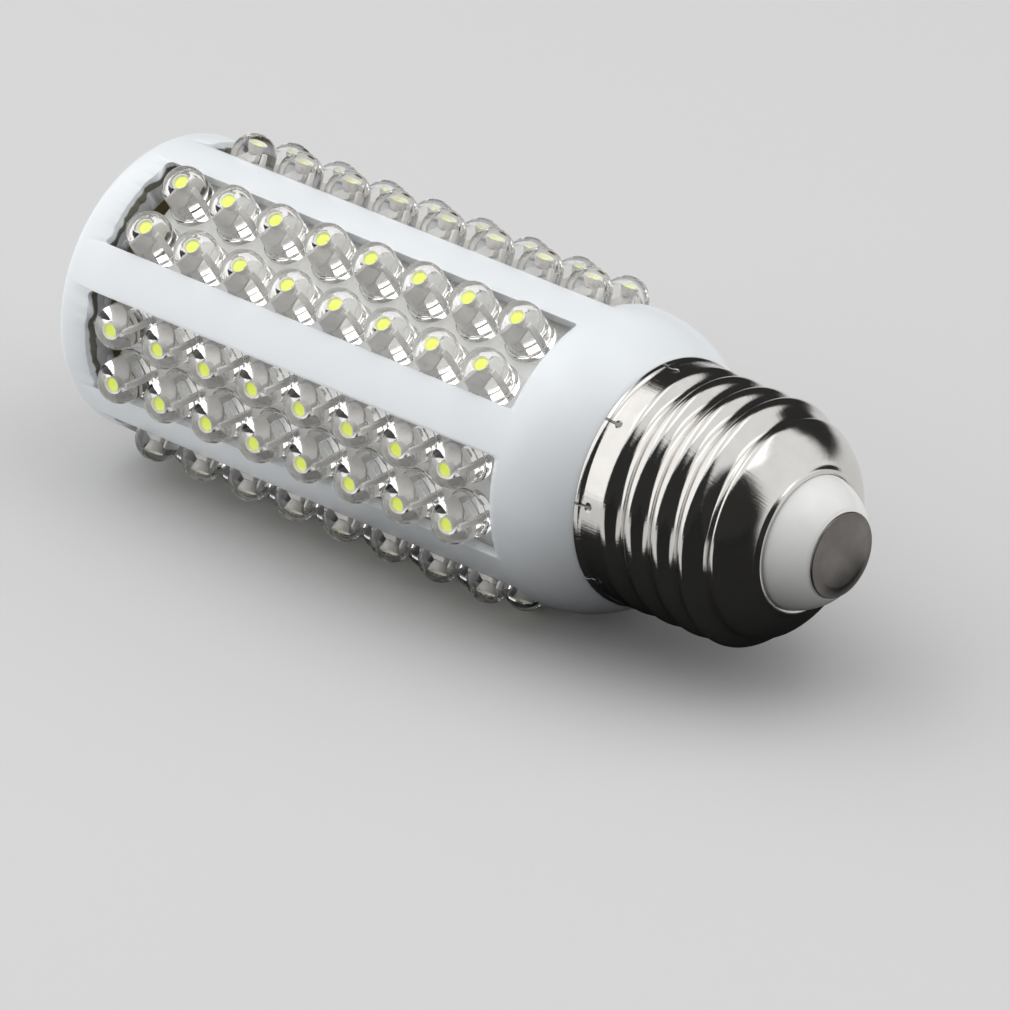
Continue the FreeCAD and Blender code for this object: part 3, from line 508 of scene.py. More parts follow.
@dataclass(frozen=True)
class PolishedNickel(Finish):
    """Nickel plate on the rolled shell: fine scratches, and punch marks near the rim."""

    rim: float = -25.0
    radius: float = 13.2
    marks: int = 9
    mark_turn: float = 38.0
    mark_reach: float = 1.75
    mark_radius: float = 0.55
    mark_depth: float = 0.16
    band_end: float = 2.6
    band_blend: float = 0.6
    pits_per_mm: float = 2.6
    scratch: float = 0.021

    def paint(self, net: Net) -> None:
        """Scratch along the axis on the band and round the thread, punch the marks and darken them
        with painted shade.
        """
        place = net.place()
        x, y, z = net.split(place)
        turns = net.add("ShaderNodeMath", {"operation": "ARCTAN2"}, {0: y * -1.0, 1: z})
        turns = turns / (2 * math.pi)
        reach = x - self.rim
        girth = 2 * math.pi * self.radius
        around = turns * girth
        drawn = net.grain(net.merge(reach * 0.3, around * 4.0, 0.0), 1.0, 5.0, 0.7)
        rolled = net.grain(net.merge(reach * 7.0, around * 0.15, 0.0), 1.0, 4.0, 0.65)
        cloud = net.grain(place, 0.35, 3.0)
        band = reach.fades(self.band_end + self.band_blend, self.band_end)
        scratch = drawn + (rolled - drawn) * (1 - band) * 0.3
        parts = (turns - self.mark_turn / 360.0) * self.marks
        off = parts - parts.maths("ROUND")
        aside = off * (girth / self.marks)
        along = reach - self.mark_reach
        away = (aside * aside + along * along).maths("SQRT")
        dimple = away.fades(self.mark_radius, 0.15)
        rim_slit = aside.maths("ABSOLUTE").fades(0.16, 0.06) * along.fades(0.0, -0.5)
        punch_marks = (dimple + rim_slit).maths("MINIMUM", 1.0)
        colour = net.mix(cloud.fades(0.3, 0.75), self.shade(0.93), self.colour)
        pits = net.grain(place, self.pits_per_mm, 5.0, 0.75).fades(0.68, 0.76)
        colour = net.mix(pits * 0.5, colour, self.shade(0.45))
        # Painted shade: the punch dimples and rim slits are darkened almost to black.
        colour = net.mix(punch_marks * 0.75, colour, self.shade(0.12))
        fine = net.bump(scratch, self.scratch, 0.8)
        relief = net.bump(1 - punch_marks, self.mark_depth, 1.0, fine)
        rough = self.roughness + scratch.fades(0.35, 0.8) * 0.10 + punch_marks * 0.2
        net.surface(Base_Color=colour, Metallic=1.0, Roughness=rough, Normal=relief)


@dataclass(frozen=True)
class SatinMetal(Finish):
    """Plain metal with short scratches this way and that, and duller spots."""

    scratch: float = 0.004
    metal: float = 1.0

    def paint(self, net: Net) -> None:
        """Cross two sets of fine scratches over a cloudy satin."""
        place = net.place()
        x, y, z = net.split(place)
        lines = net.grain(net.merge(x * 0.4, (y + z) * 1.1, (y - z) * 9.0), 1.0, 4.0, 0.7)
        others = net.grain(net.merge(x * 0.4, y * 8.0, z * 0.9), 1.0, 4.0, 0.7)
        spots = net.grain(place, 1.3, 5.0, 0.7)
        cloud = net.grain(place, 0.3, 2.0)
        scratch = lines * 0.6 + others * 0.4
        colour = net.mix(cloud.fades(0.35, 0.7), self.shade(0.8), self.colour)
        colour = net.mix(spots.fades(0.62, 0.75) * 0.5, colour, self.shade(1.5))
        rough = self.roughness + scratch * 0.2 - 0.1 + spots.fades(0.5, 0.7) * 0.1
        net.surface(Base_Color=colour, Metallic=self.metal, Roughness=rough,
                    Normal=net.bump(scratch, self.scratch, 0.8))


@dataclass(frozen=True)
class ClearEpoxy(Finish):
    """Clear moulded epoxy with a faintly uneven skin."""

    bend: float = 1.53

    def paint(self, net: Net) -> None:
        """Bend the light, with a skin that is not quite even."""
        skin = net.grain(net.place(), 0.7, 2.0)
        colour = net.mix(skin, self.shade(0.985), self.colour)
        net.surface(Base_Color=colour, Roughness=self.roughness, IOR=self.bend,
                    Transmission_Weight=1.0, Normal=net.bump(skin, 0.02, 0.6))


@dataclass(frozen=True)
class PhosphorGel(Finish):
    """Yellow phosphor in its cup, with a painted glow though it is no lamp."""

    painted_glow: float = 0.25

    def paint(self, net: Net) -> None:
        """Mottle the gel with fine grains and give it a painted glow."""
        grains = net.grain(net.place(), 9.0, 3.0)
        colour = net.mix(grains.fades(0.35, 0.7), self.shade(0.9), self.colour)
        # Painted glow: the gel emits its own colour on top of what the lamps give it.
        net.surface(Base_Color=colour, Roughness=self.roughness, Emission_Color=colour,
                    Emission_Strength=self.painted_glow, Normal=net.bump(grains, 0.02))


@dataclass(frozen=True)
class SolderMask(Finish):
    """White mask over copper tracks on one side of a board, with tan laminate at its edges."""

    turn: float = 0.0
    face: float = 12.85
    flat_axis: str = "Z"
    pitch: float = 6.9
    laminate: Colour = (0.52, 0.42, 0.22)
    stained: Colour = (0.72, 0.68, 0.55)
    painted_shadow: Colour = (0.52, 0.50, 0.43)
    painted_shadow_from: float = -88.5
    end: float = -91.6

    def paint(self, net: Net) -> None:
        """Lay tracks, mottle and stain the mask, paint the end wall's shadow on it, and bare the
        laminate below the face.
        """
        place = net.place(self.turn)
        x, y, z = net.split(place)
        depth = z if self.flat_axis == "Z" else x * -1.0
        side = y.maths("ABSOLUTE")
        step = (x / self.pitch).maths("FRACT")
        rail = side.between(5.2, 5.9, 0.1)
        link = side.between(0.9, 1.5, 0.1) * step.fades(0.72, 0.7)
        cross = step.between(0.8, 0.9, 0.01) * side.fades(5.3, 5.2)
        track = (rail + link + cross).maths("MINIMUM", 1.0)
        mottle = net.grain(place, 0.8, 4.0)
        stain = net.grain(place, 0.25, 3.0).fades(0.55, 0.75)
        colour = net.mix(mottle.fades(0.3, 0.7), self.shade(0.94), self.colour)
        colour = net.mix(track * 0.5, colour, self.shade(0.9))
        colour = net.mix(stain * 0.25, colour, self.stained)
        # Painted shadow: on the side boards the mask darkens towards the head end, where the cage's
        # end wall shades them.
        if self.flat_axis == "Z":
            colour = net.mix(x.fades(self.painted_shadow_from, self.end), colour, self.painted_shadow)
        masked = depth.fades(self.face - 0.12, self.face - 0.04)
        weave = net.grain(net.place(self.turn, (6.0, 6.0, 1.0)), 1.0, 2.0)
        edge = net.mix(weave, self.laminate, tuple(part * 0.7 for part in self.laminate))
        relief = net.bump(track, 0.035, 0.8, net.bump(mottle, 0.01))
        net.surface(Base_Color=net.mix(masked, edge, colour), Normal=relief,
                    Roughness=self.roughness + mottle * 0.15)


@dataclass(frozen=True)
class Coated(Finish):
    """Paint, lacquer, sleeve or insulation over an inner part: mottled, with a fine skin."""

    mottle: float = 0.12
    lumps: float = 0.6
    skin: float = 0.01

    def paint(self, net: Net) -> None:
        """Mottle the colour and raise a fine skin."""
        place = net.place()
        patches = net.grain(place, self.lumps, 4.0)
        skin = net.grain(place, 6.0, 3.0)
        colour = net.mix(patches.fades(0.3, 0.7), self.shade(1 - self.mottle), self.colour)
        net.surface(Base_Color=colour, Roughness=self.roughness + skin * 0.2 - 0.1,
                    Normal=net.bump(skin, self.skin))


@dataclass(frozen=True)
class BandedLacquer(Finish):
    """Resistor lacquer with value bands round it."""

    middle: float = 0.0
    spacing: float = 1.1
    half_width: float = 0.28
    blend: float = 0.06
    bands: tuple[Colour, ...] = ((0.30, 0.12, 0.03), (0.02, 0.02, 0.02), (0.45, 0.18, 0.02),
                                 (0.55, 0.42, 0.12))

    def paint(self, net: Net) -> None:
        """Ring the lacquer with its bands, along X from the middle."""
        place = net.place()
        x, _, _ = net.split(place)
        patches = net.grain(place, 1.5, 3.0)
        colour = net.mix(patches, self.shade(0.9), self.colour)
        for index, band in enumerate(self.bands):
            shift = self.middle + (index - (len(self.bands) - 1) / 2) * self.spacing
            off = (x - shift).maths("ABSOLUTE")
            colour = net.mix(off.fades(self.half_width, self.half_width - self.blend), colour, band)
        net.surface(Base_Color=colour, Roughness=self.roughness,
                    Normal=net.bump(patches, 0.01))


@dataclass(frozen=True)
class FlagCloth(Finish):
    """Dark cloth that is seen from above only, so that it keeps no light from the floor."""

    def paint(self, net: Net) -> None:
        """Clear from below, cloth from above."""
        cloth = net.add("ShaderNodeBsdfDiffuse", None, {"Color": self.colour})
        clear = net.add("ShaderNodeBsdfTransparent")
        below = net.add("ShaderNodeNewGeometry", output="Backfacing")
        either = net.add("ShaderNodeMixShader", None, {0: below, 1: cloth, 2: clear})
        net.tree.links.new(either.output, net.end.inputs["Surface"])


@dataclass(frozen=True)
class StageColour(Finish):
    """The plain pale floor."""

    def paint(self, net: Net) -> None:
        """Plain matt colour, the same all over."""
        net.surface(Base_Color=self.colour, Roughness=self.roughness,
                    Specular_IOR_Level=0.0)


def settle(piece: Thing, slot: Slot, finish: Finish, *nodes: str) -> None:
    """Dress a finished piece and fix it to the body.

    Args:
        piece: the piece, in its place.
        slot: a finish name for the piece; not used.
        finish: what paints it.
        nodes: the CAD nodes that it stands for.
    """
    piece.data.materials.clear()
    piece.data.materials.append(finish.material())
    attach(piece, "root")
    if nodes:
        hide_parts(*nodes)
    log.info("%s: %d faces", piece.name, len(piece.data.polygons))


def dress(node: str, finish: Finish) -> None:
    """Give a CAD node that stays a better material."""
    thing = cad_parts[node]
    thing.data.materials.clear()
    thing.data.materials.append(finish.material())


@dataclass
class Cap:
    """The screw cap: rolled shell, insulator and centre contact."""

    rim: float = -25.0
    crest: float = 13.2
    sheet: float = 0.35
    pitch: float = 3.629
    depth: float = 1.0
    first_crest: float = 3.64
    last_crest: float = 14.53
    bead_rise: float = 0.22
    bead_width: float = 0.5
    dome_start: Corner = (16.2, 12.2)
    dome_end: Corner = (20.15, 8.07)
    dome_radius: float = 7.5
    lip_face: float = 20.55
    lip_hole: float = 7.32
    columns: int = 176
    rows_per_turn: int = 22
    contact_radius: float = 4.63
    contact_thick: float = 0.5
    crown_width: float = 1.33
    crown_fall: float = 0.2
    cone_arc: float = 7.0
    cone_step: float = 0.1
    flange: Corner = (8.8, 1.3)
    flange_back: float = 17.9
    nickel: PolishedNickel = PolishedNickel("polished_nickel", (0.80, 0.78, 0.75), 0.07)
    ceramic: MouldedPlastic = MouldedPlastic(
        "glossy_insulator", (0.84, 0.84, 0.83), 0.18, cloud=0.02, skin=0.002)
    satin: SatinMetal = SatinMetal("satin_contact", (0.235, 0.22, 0.205), 0.3, scratch=0.012)

    def build(self) -> None:
        """Model and dress the three pieces."""
        settle(self.shell(), Slot.NICKEL_SHELL, self.nickel, "screw_shell")
        settle(self.insulator(), Slot.WHITE_INSULATOR, self.ceramic, "insulator")
        settle(self.contact(), Slot.CONTACT_METAL, self.satin, "centre_contact")

    def meridian(self) -> list[Corner]:
        """The shell's (reach, radius) line without its thread, from rim to lip."""
        start, foot = Vector(self.dome_start), Vector(self.dome_end)
        chord = foot - start
        inward = Vector((chord.y, -chord.x)).normalized()
        rise = math.sqrt(self.dome_radius ** 2 - chord.length_squared / 4)
        centre = (start + foot) / 2 + inward * rise
        bead = self.crest + self.bead_rise
        width = self.bead_width
        line = [(0.0, bead - 0.12), (width * 0.2, bead), (width, bead), (width * 1.25, bead - 0.06),
                (width * 1.6, self.crest), (width * 2, self.crest)]
        step = self.pitch / self.rows_per_turn
        reach = width * 2 + step
        while reach < start.x:
            share = eased(reach, self.last_crest, start.x)
            dome = self.crest
            if share > 0:
                dome = centre.y + math.sqrt(self.dome_radius ** 2 - (reach - centre.x) ** 2)
            line.append((reach, self.crest * (1 - share) + dome * share))
            reach += step
        steps = round(chord.length / step)
        line.append(tuple(start))
        line += arc(tuple(start), tuple(foot), self.dome_radius, Turn.RIGHT, steps)
        gap = foot.y - self.lip_hole
        face = self.lip_face
        line += [(face - 0.2, foot.y - 0.15 * gap), (face - 0.04, foot.y - 0.3 * gap),
                 (face, foot.y - 0.42 * gap), (face, self.lip_hole + 0.2 * gap),
                 (face - 0.05, self.lip_hole)]
        return line

    def groove(self, turns: np.ndarray) -> np.ndarray:
        """Depth of the rolled thread, 0 on a crest and 1 in a root, from tangent arcs."""
        quarter = self.pitch / 4
        half = self.depth / 2
        radius = (quarter ** 2 + half ** 2) / (2 * half)
        offset = np.abs((turns + 0.5) % 1.0 - 0.5) * self.pitch
        near = radius - np.sqrt(radius ** 2 - np.minimum(offset, quarter) ** 2)
        rest = np.clip(2 * quarter - offset, 0.0, quarter)
        far = self.depth - radius + np.sqrt(radius ** 2 - rest ** 2)
        return np.where(offset <= quarter, near, far) / self.depth

    def shell(self) -> Thing:
        """Bend a flat grid into the threaded shell and give it the sheet's thickness."""
        line = self.meridian()
        rows = len(line)
        bpy.ops.object.select_all(action="DESELECT")
        bpy.ops.mesh.primitive_grid_add(
            x_subdivisions=rows - 1, y_subdivisions=self.columns, size=MM)
        thing = bpy.context.active_object
        thing.name = thing.data.name = "threaded_shell"
        reaches = np.array([corner[0] for corner in line])
        radii = np.array([corner[1] for corner in line])
        first = self.first_crest

        def wrap(flat: np.ndarray) -> np.ndarray:
            """Send each grid point to its place on the shell."""
            row = np.rint((flat[:, 0] + 0.5) * (rows - 1)).astype(int)
            share = np.rint((flat[:, 1] + 0.5) * self.columns) / self.columns
            reach = reaches[row]
            rise = np.array([eased(r, first - self.pitch / 4, first + self.pitch / 4)
                             for r in reach])
            last = self.last_crest
            fall = np.array([1 - eased(r, last + self.pitch / 4, last + self.pitch)
                             for r in reach])
            turns = (reach - first) / self.pitch - (share - 0.25)
            radius = radii[row] - self.depth * rise * fall * self.groove(turns)
            angle = 2 * math.pi * share
            return np.stack([self.rim + reach, -radius * np.sin(angle),
                             radius * np.cos(angle)], axis=1)

        Bench.reshape(thing, wrap)
        Bench.edit(thing)
        Bench.tidy()
        Bench.finish(thing, "SOLIDIFY", thickness=self.sheet * MM, offset=-1.0,
                     use_even_offset=True)
        return Bench.smooth(thing, 50)

    def insulator(self) -> Thing:
        """Turn the convex cone with its rounded shoulder and the flange behind the dome."""
        top = -self.contact_thick
        side = self.lip_hole - 0.06
        lip = self.rim + self.lip_face
        back = self.rim + self.flange_back
        face = back + self.flange[1]
        shoulder = self.contact_radius + self.cone_step
        profile = [(top, 1.26), (back, 1.26), (back, self.flange[0]), (face, self.flange[0]),
                   (face, side), (lip, side)]
        profile += arc((lip, side), (top - 0.15, shoulder + 0.1), self.cone_arc, Turn.RIGHT, 18)
        profile += arc(profile[-1], (top, shoulder - 0.12), 0.25, Turn.LEFT, 3)
        return Bench.smooth(Bench.turned("insulator_cone", profile, 128, closed=True), 35)

    def contact(self) -> Thing:
        """Turn the crowned disc with its rivet shank."""
        edge = self.contact_radius
        back = self.rim + self.flange_back
        crown = level_arc(self.crown_width, self.crown_fall)
        rim_edge = -self.crown_fall
        profile = [(back - 0.5, 0.0), (back - 0.5, 2.1), (back, 2.1), (back, 1.2),
                   (-self.contact_thick, 1.2), (-self.contact_thick, edge - 0.08),
                   (-self.contact_thick + 0.08, edge), (rim_edge - 0.08, edge),
                   (rim_edge, edge - 0.06)]
        profile += arc(profile[-1], (0.0, edge - self.crown_width), crown, Turn.LEFT, 6)
        profile.append((0.0, 0.0))
        thing = Bench.turned("contact_rivet", profile, 112)
        return Bench.smooth(thing, 30)


@dataclass
class Cage:
    """The moulded cage with its six windows, head recess, shoulder and neck."""

    rim: float = -25.0
    radius: float = 16.4
    wall: float = 1.4
    head_reach: float = 71.6
    head_round: float = 1.2
    recess_radius: float = 13.8
    recess_depth: float = 3.4
    ledge_radius: float = 12.6
    ledge_thick: float = 0.8
    shoulder_reach: float = 8.2
    shoulder_floor: float = 0.5
    rim_radius: float = 13.4
    band_radius: float = 12.75
    neck_step: float = 3.0
    neck_radius: float = 11.75
    neck_reach: float = 12.0
    bore_radius: float = 10.4
    rail: Corner = (0.9, 0.8)
    sides: int = 6
    window_width: float = 11.66
    window_near: float = 8.82
    window_far: float = 67.3
    window_corner: float = 0.4
    notches: int = 26
    plug_drops: tuple[float, ...] = (2.0, 0.35, 0.3, 0.3, 2.0)
    ragged: float = 0.42
    sound_skin: float = 0.25
    tear_depth: float = 0.7
    edge_round: float = 0.14
    steps: int = 180
    plastic: MouldedPlastic = MouldedPlastic("moulded_white", (0.83, 0.865, 0.89), 0.30)

    def build(self) -> None:
        """Turn the wall, cut the windows, soften the edges and add the rails."""
        thing = self.turn_wall()
        cutter = self.cutter()
        Bench.finish(thing, "BOOLEAN", operation="DIFFERENCE", object=cutter, solver="EXACT")
        Bench.scrap(cutter)
        Bench.edit(thing)
        bpy.ops.mesh.dissolve_degenerate(threshold=0.002 * MM)
        Bench.tidy()
        Bench.finish(thing, "BEVEL", width=self.edge_round * MM, segments=2, limit_method="ANGLE",
                     angle_limit=math.radians(40), harden_normals=True)
        whole = Bench.joined("window_cage", [thing, self.rails()])
        Bench.smooth(whole, 40)
        settle(whole, Slot.WHITE_PLASTIC, self.plastic, "housing")

    def turn_wall(self) -> Thing:
        """Turn the closed section of the wall."""
        head = self.rim - self.head_reach
        seat = head + self.recess_depth
        inside = self.radius - self.wall
        shoulder = self.rim - self.shoulder_reach
        drop = self.radius - self.rim_radius
        outer = level_arc(self.shoulder_reach, drop)
        run = self.shoulder_reach - self.shoulder_floor
        floor = self.rim - self.shoulder_floor
        rounded = self.radius - self.head_round
        profile = [(head, self.recess_radius), (head, rounded)]
        profile += arc((head, rounded), (head + self.head_round, self.radius),
                       self.head_round, Turn.RIGHT, 8)
        profile += [(shoulder, self.radius)]
        profile += arc((shoulder, self.radius), (self.rim, self.rim_radius), outer, Turn.RIGHT, 20)
        profile += [(self.rim, self.band_radius), (self.rim + self.neck_step, self.band_radius),
                    (self.rim + self.neck_step, self.neck_radius),
                    (self.rim + self.neck_reach, self.neck_radius),
                    (self.rim + self.neck_reach, self.bore_radius), (floor, self.bore_radius),
                    (floor, inside - drop)]
        profile += arc((floor, inside - drop), (shoulder, inside), level_arc(run, drop),
                       Turn.LEFT, 12)
        profile += [(seat + self.ledge_thick, inside), (seat + self.ledge_thick, self.ledge_radius),
                    (seat, self.ledge_radius), (seat, self.recess_radius)]
        return Bench.turned("window_cage", profile, self.steps, closed=True)

    def cutter(self) -> Thing:
        """Model one window's plug, ragged at the head end inside, and copy it round."""
        half = self.window_width / 2
        near = self.rim - self.window_near
        far = self.rim - self.window_far
        corner = self.window_corner
        outline = [(near, half - corner)]
        outline += arc(outline[-1], (near - corner, half), corner, Turn.LEFT, 4)
        outline.append((far + corner, half))
        outline += arc(outline[-1], (far, half - corner), corner, Turn.LEFT, 4)
        outline += [(far, (half - corner) * (1 - 2 * i / self.notches))
                    for i in range(1, self.notches + 1)]
        outline += arc(outline[-1], (far + corner, -half), corner, Turn.LEFT, 4)
        outline.append((near - corner, -half))
        outline += arc(outline[-1], (near, corner - half), corner, Turn.LEFT, 4)
        top = self.radius + 1.5
        plug = Bench.line("window_plug", [(x, y, top) for x, y in outline], closed=True)
        for drop in self.plug_drops:
            bpy.ops.mesh.extrude_region_move(
                TRANSFORM_OT_translate={"value": Vector((0, 0, -drop * MM))})
        Bench.tidy()
        wall_top = self.radius - self.sound_skin

        def tear(points: np.ndarray) -> np.ndarray:
            """Push the far face in and out below the wall's sound skin."""
            moved = points.copy()
            for index, (x, y, z) in enumerate(points):
                if x > far + corner * 0.5 or z > wall_top:
                    continue
                deep = eased(wall_top - z, 0.0, self.tear_depth)
                wave = noise.noise(Vector((y * 0.9, 3.7, z * 0.35)))
                moved[index, 0] += self.ragged * deep * (wave * 1.8 + 0.2)
            return moved

        Bench.reshape(plug, tear)
        plugs = Bench.copied("window_plugs", plug, self.round_axis(1))
        Bench.scrap(plug)
        return plugs

    def round_axis(self, half_steps: int) -> list[Matrix]:
        """One turn for each side, from so many half steps past +Z."""
        return [Matrix.Rotation(math.pi * (2 * i + half_steps) / self.sides, 4, "X")
                for i in range(self.sides)]

    def rails(self) -> Thing:
        """The inner rails between the boards, one behind each rib."""
        width, depth = self.rail
        inside = self.radius - self.wall
        low = self.rim - self.head_reach + self.recess_depth + self.ledge_thick
        high = self.rim - self.shoulder_reach
        outline = [(low, -width / 2, inside - depth), (low, width / 2, inside - depth),
                   (low, width / 2, inside + 0.1), (low, -width / 2, inside + 0.1)]
        rail = Bench.plate("rail", outline, (high - low, 0, 0))
        Bench.finish(rail, "BEVEL", width=0.1 * MM, segments=1)
        rails = Bench.copied("rails", rail, self.round_axis(0))
        Bench.scrap(rail)
        return rails


@dataclass
class Led:
    """One round LED, standing on its board at z = 0 with its leads along X."""

    lens_radius: float = 2.45
    lens_height: float = 5.5
    flange_radius: float = 2.75
    flange_height: float = 0.8
    flat: float = 2.5
    lift: float = 0.03
    lead_pitch: float = 2.54
    lead_side: float = 0.5
    tail: float = 2.2
    cup_radius: float = 0.71
    cup_foot: float = 0.45
    cup_top: float = 4.0
    cup_height: float = 0.8
    gel_depth: float = 0.5
    gel_sink: float = 0.22
    bond_width: float = 0.07
    segments: int = 64

    def lens(self) -> Thing:
        """Turn the flange, barrel and round top, and press the flange's flat."""
        barrel = self.lens_height - self.lens_radius
        r = self.lens_radius
        profile = [(self.lift, 0.0), (self.lift, self.flange_radius - 0.05),
                   (self.lift + 0.05, self.flange_radius),
                   (self.flange_height - 0.08, self.flange_radius),
                   (self.flange_height, self.flange_radius - 0.08),
                   (self.flange_height, r + 0.04), (self.flange_height + 0.04, r), (barrel, r)]
        top = arc((r, barrel), (0.0, self.lens_height), r, Turn.LEFT, 14)
        profile += [(height, radius) for radius, height in top]
        thing = Bench.turned("lens_master", profile, self.segments, upright=True)
        edge = np.array((-self.flat, -np.inf, -np.inf))
        Bench.reshape(thing, lambda points: np.maximum(points, edge))
        return Bench.smooth(thing, 35)

    def frame_parts(self) -> Thing:
        """The anvil with its cup, the post and the bond wire."""
        side = self.lead_side / 2
        near = self.lead_pitch / 2 - side
        far = self.lead_pitch / 2 + side
        low = self.cup_top - self.cup_height
        foot = self.cup_foot
        anvil = [(-far, -self.tail), (-near, -self.tail), (-near, 1.3), (foot, 2.6), (foot, low),
                 (-foot, low), (-far, 1.9)]
        inner = self.cup_radius + side
        peak = self.cup_top - self.gel_depth
        post = [(near, -self.tail), (far, -self.tail), (far, 1.6), (inner + 0.25, peak),
                (inner, peak), (near, 1.4)]
        flats = [Bench.plate(name, [(x, -side, z) for x, z in outline], (0, 2 * side, 0))
                 for name, outline in (("anvil", anvil), ("post", post))]
        for flat in flats:
            Bench.finish(flat, "BEVEL", width=0.05 * MM, segments=1)
        cup = Bench.turned("cup", [
            (low, 0.0), (low, foot), (self.cup_top, self.cup_radius),
            (self.cup_top, self.cup_radius - 0.07), (peak, foot), (peak, 0.0)], 24, upright=True)
        wire = self.bond(inner + 0.15, peak)
        return Bench.smooth(Bench.joined("frame_master", [*flats, cup, wire]), 35)

    def bond(self, reach: float, peak: float) -> Thing:
        """The bond wire that arches from the phosphor to the post."""
        top = self.cup_top
        path = [(0.45, top - self.gel_sink), (0.62, top + 0.12), (0.85, top + 0.16),
                (1.05, top), (reach, peak)]
        half = self.bond_width / 2
        corners = [(0, half), (half, 0), (0, -half), (-half, 0)]
        thing = Bench.line("bond", [(path[0][0], y, path[0][1] + z) for y, z in corners], True)
        for (x0, z0), (x1, z1) in zip(path, path[1:]):
            bpy.ops.mesh.extrude_region_move(
                TRANSFORM_OT_translate={"value": Vector((x1 - x0, 0, z1 - z0)) * MM})
        Bench.tidy()
        return thing

    def gel(self) -> Thing:
        """The phosphor: a shallow drop in the cup."""
        low = self.cup_top - self.gel_depth + 0.02
        top = self.cup_top - self.gel_sink
        edge = self.cup_foot - 0.02
        edge += (self.cup_radius - 0.07 - self.cup_foot) * (1 - self.gel_sink / self.gel_depth)
        profile = [(low, 0.0), (low, self.cup_foot - 0.02), (top, edge)]
        profile += [(top + 0.05, edge * 0.6), (top + 0.06, 0.0)]
        return Bench.smooth(Bench.turned("gel_master", profile, 24, upright=True), 60)


@dataclass
class LedField:
    """All the LEDs, on the six side boards and on the end board."""

    rim: float = -25.0
    sides: int = 6
    board_face: float = 12.85
    columns: int = 8
    near: float = 14.4
    pitch: float = 6.9
    row: float = 3.2
    end_face: float = -94.4
    end_rings: tuple[tuple[int, float], ...] = ((9, 9.6), (3, 3.7))
    led: Led = field(default_factory=Led)
    epoxy: ClearEpoxy = ClearEpoxy("moulded_epoxy", (1.0, 0.99, 0.975), 0.01)
    silver: SatinMetal = SatinMetal("silvered_frame", (0.95, 0.935, 0.91), 0.45, metal=0.1)
    gel: PhosphorGel = PhosphorGel("phosphor_gel", (0.78, 0.90, 0.14), 0.45)

    def spot(self, number: int, column: float, row: float) -> Matrix:
        """A place on a side board's face.

        Args:
            number: the board, from 1.
            column: how many LEDs from the cap, with halves between two.
            row: millimetres aside from the board's middle.

        Returns:
            Where a piece that was modelled at the origin goes, in metres.
        """
        turn = Matrix.Rotation(math.pi * (2 * number - 1) / self.sides, 4, "X")
        reach = self.rim - self.near - column * self.pitch
        return turn @ Matrix.Translation(Vector((reach, row, self.board_face)) * MM)

    def side_places(self, number: int) -> list[Matrix]:
        """Where the LEDs of one side board stand."""
        return [self.spot(number, column, row)
                for column in range(self.columns) for row in (-self.row, self.row)]

    def end_places(self) -> list[Matrix]:
        """Where the LEDs of the end board stand."""
        flat = Matrix.Rotation(-math.pi / 2, 4, "Y") @ Matrix.Rotation(math.pi / 2, 4, "Z")
        places = []
        for count, radius in self.end_rings:
            for index in range(count):
                turn = Matrix.Rotation(2 * math.pi * index / count, 4, "X")
                shift = Matrix.Translation(Vector((self.end_face, 0, radius)) * MM)
                places.append(turn @ shift @ flat)
        return places

    def build(self) -> None:
        """Copy the LED's pieces to each place, a board at a time."""
        lens, parts, drop = self.led.lens(), self.led.frame_parts(), self.led.gel()
        fields = {"side_%d" % n: self.side_places(n) for n in range(1, self.sides + 1)}
        fields["end"] = self.end_places()
        gels = []
        for name, places in fields.items():
            head, _, number = name.partition("_")
            tail = "_" + number if number else ""
            lenses = Bench.copied("lenses_" + name, lens, places)
            settle(lenses, Slot.CLEAR_EPOXY, self.epoxy, head + "_lenses" + tail)
            frames = Bench.copied("lead_frames_" + name, parts, places)
            settle(frames, Slot.LEAD_METAL, self.silver, head + "_leads" + tail)
            gels += places
        drops = Bench.copied("phosphor_drops", drop, gels)
        settle(drops, Slot.PHOSPHOR, self.gel, "phosphor")
        Bench.scrap(lens, parts, drop)


@dataclass
class Boards:
    """The white LED boards, which keep their CAD shapes, and the rims of their plated holes."""

    leds: LedField
    via_radius: float = 0.45
    via_depth: float = 1.1
    rim_width: float = 0.22
    rim_rise: float = 0.035
    mask: Colour = (0.84, 0.85, 0.83)
    copper: SatinMetal = SatinMetal("plated_copper", (0.62, 0.36, 0.12), 0.35)

    def build(self) -> None:
        """Dress the boards and set the rims."""
        led = self.leds
        for number in range(1, led.sides + 1):
            turn = 180.0 * (2 * number - 1) / led.sides
            dress("side_board_%d" % number, SolderMask(
                "white_mask_%d" % number, self.mask, 0.35, turn=turn, face=led.board_face))
        dress("end_board", SolderMask(
            "white_mask_end", self.mask, 0.35, face=-led.end_face, flat_axis="X"))
        outer = self.via_radius + self.rim_width
        ring = Bench.turned("via_rim", [
            (0.0, outer), (self.rim_rise, outer - 0.03), (self.rim_rise, self.via_radius + 0.02),
            (-self.via_depth, self.via_radius - 0.03), (-self.via_depth, self.via_radius + 0.1)],
            20, closed=True, upright=True)
        Bench.smooth(ring, 40)
        places = [led.spot(number, gap + 0.5, 0)
                  for number in range(1, led.sides + 1) for gap in range(led.columns - 1)]
        rims = Bench.copied("via_rims", ring, places)
        Bench.scrap(ring)
        settle(rims, Slot.TINNED_WIRE, self.copper)


RED_WIRE = Coated("red_insulation", (0.45, 0.02, 0.02), 0.4)
BLACK_WIRE = Coated("black_insulation", (0.02, 0.02, 0.02), 0.4)
BARE_WIRE = SatinMetal("tinned_copper", (0.75, 0.75, 0.74), 0.3)


